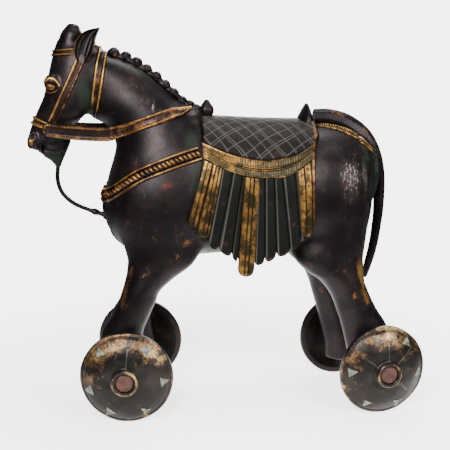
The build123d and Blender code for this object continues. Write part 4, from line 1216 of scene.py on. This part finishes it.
def wheel_place(name, radius, angle, height):
    """Points of a wheel from radius, degrees clockwise from up as seen from outside, and
    height over its back face along the axle."""
    end, side = (-1 if "front" in name else 1), (-1 if "left" in name else 1)
    out = np.array([-end * side * math.sin(toe), side * math.cos(toe), 0])
    right = np.array([-out[1], out[0], 0.0])
    angle = np.radians(angle)
    centre = np.array([end * AXLE_X, 0, WHEEL_R]) + out * WHEEL_BACK
    return (centre + (radius * np.sin(angle))[..., None] * right
            + (radius * np.cos(angle))[..., None] * np.array([0, 0, 1.0]) + height[..., None] * out)


def disc_profile():
    """Radius and height of the disc's section, once round it: bore, counterbore, hub, domed
    face with a turned line near its edge, rim, and dished back. Also which points are the face."""
    outer = np.linspace(HUB_R + 0.9, 34.2, 44)
    face = np.stack([outer, dome_curve(outer) - 0.45 * bell(outer, 32.4, 0.55)
                     + 0.25 * bell(outer, 33.6, 0.5)], 1)
    hub = [(BORE_R, 0.4), (BORE_R, SINK_FLOOR), (SINK_R, SINK_FLOOR), (SINK_R, HUB_LEN - 0.5),
           (SINK_R + 0.5, HUB_LEN), (HUB_R - 0.9, HUB_LEN), (HUB_R, HUB_LEN - 0.8),
           (HUB_R, HUB_LEN - 2.2), (HUB_R - 0.5, HUB_LEN - 2.8), (HUB_R - 0.2, DOME_H + 0.5)]
    back = [(34.8, 4.2), (35, 3.5), (35, 0.9), (34.6, 0.2), (33.8, 0), (30.6, 0), (29.5, 0.9),
            (26, 3.4), (21, 5.2), (15, 6.9), (10.6, DISH), (9.9, 6.8), (9.6, 0.3), (9.2, 0), (5.6, 0)]
    profile = np.array([*hub, *face, *back])
    on_face = (profile[:, 0] > HUB_R) & (np.arange(len(profile)) < len(hub) + len(face))
    return profile, on_face


def wheel_disc(number, name):
    """One wheel, a little uneven in outline and face, with its cut lines and its wear."""
    profile, on_face = disc_profile()
    angle = np.arange(0, 360, 2.0)[None, :]
    turn = np.radians(angle)
    radius, height = (profile[:, k:k + 1] + 0 * angle for k in (0, 1))
    uneven = (0.003 * (1 + np.cos(2 * turn + number)) + 0.003 * (1 + np.cos(3 * turn + 2 * number))
              + 0.002 * (1 + np.cos(7 * turn + number)))
    radius = radius * (1 - np.clip((radius - 12) / 23, 0, 1) * uneven)
    facing = (height > 4) & on_face[:, None]
    height = height - 0.22 * facing * (1 + np.sin(5 * turn + number) * np.sin(radius * 0.35))
    line, rub = np.zeros_like(radius), np.zeros_like(radius)
    for cut in CUTS[name]:
        off = degrees_apart(angle, cut) * np.pi / 180 * radius
        line = np.maximum(line, bell(off, 0, 0.36) * (radius < 25 + 3 * (cut == 48)))
    height = height - 0.25 * line * facing
    for at, wide, amount in RUBS[name]:
        rub = np.maximum(rub, amount * bell(degrees_apart(angle, at), 0, wide)
                         * np.clip((radius - 15) / 12, 0, 1))
    edges = 0.38 * bell(radius, 34.2, 1.0) + 0.5 * bell(radius, 9.2, 1.1) * (height > 15)
    silver = np.clip(rub * (np.cos(turn - 0.6) > 0.2) * 0.8, 0, 1) * facing
    wear = np.clip(np.maximum(0.75 * rub, edges) * (height > 2), 0, 1)
    points = wheel_place(name, radius, angle + 0 * radius, height).reshape(-1, 3)
    faces = grid_faces(*radius.shape, wrap_rows=True, wrap_columns=True)
    make_piece(f"{name}_wheel_disc", points, [faces], WHEEL, f"{name}_wheel",
               body=f"{name}_wheel_set", sharp=38, wear=wear - 0.12 * silver,
               scuff=silver, line=line * facing,
               green=0.45 * ((radius < 17) & (radius > 10.2) & (height > 8)))


def wheel_inlays(number, name):
    """Six thin three-cornered chips set in the face, each a little different."""
    a, b = (share[..., None] for share in np.meshgrid(*[np.linspace(0, 1, 9)] * 2, indexing="ij"))
    parts = []
    for chip, at in enumerate(MARKS[name]):
        lean = 0.5 * math.sin(chip * 2.4 + number)
        size = 4.3 + 0.5 * math.sin(chip * 1.7 + number * 2)
        one, two, three = (np.array([INLAY_R + size * math.cos(way + lean), size * math.sin(way + lean)])
                           for way in INLAY_CORNERS)
        flat = between(one, between(two, three, b), a)
        radius = np.minimum(np.hypot(flat[..., 0], flat[..., 1]), 33.2)
        angle = at + np.degrees(np.arctan2(flat[..., 1], flat[..., 0]))
        parts.append(solid_between(*(wheel_place(name, radius, angle, dome_curve(radius) + lift)
                                     for lift in (0.12, -1.2))))
    make_piece(f"{name}_inlay_chips", *merge_parts(parts), INLAY, f"{name}_inlays",
               body=f"{name}_wheel_set", sharp=30)


for number, name in enumerate(WHEELS):
    wheel_disc(number, name)
    wheel_inlays(number, name)

# Clay core: the trunk's sections drawn in by the thickness of its wall
core = Clay((-122, -50, 100), (110, 50, 240), 2.0)
core.limb([(x * 0.93, low + 8, x * 0.93, high - 8, half - 7.5, 0)
           for x, low, high, half in TORSO[2:-2]], 0)
make_piece("clay_core_fill", *core.skin(), CLAY, "clay_core")

# The CAD's own axles and pins stay, rusted
for name in ("front_axle", "rear_axle", "core_pins"):
    materials = frame["nodes"][name].data.materials
    materials.clear()
    materials.append(RUST)

place_camera()
build_lights()
build_floor()
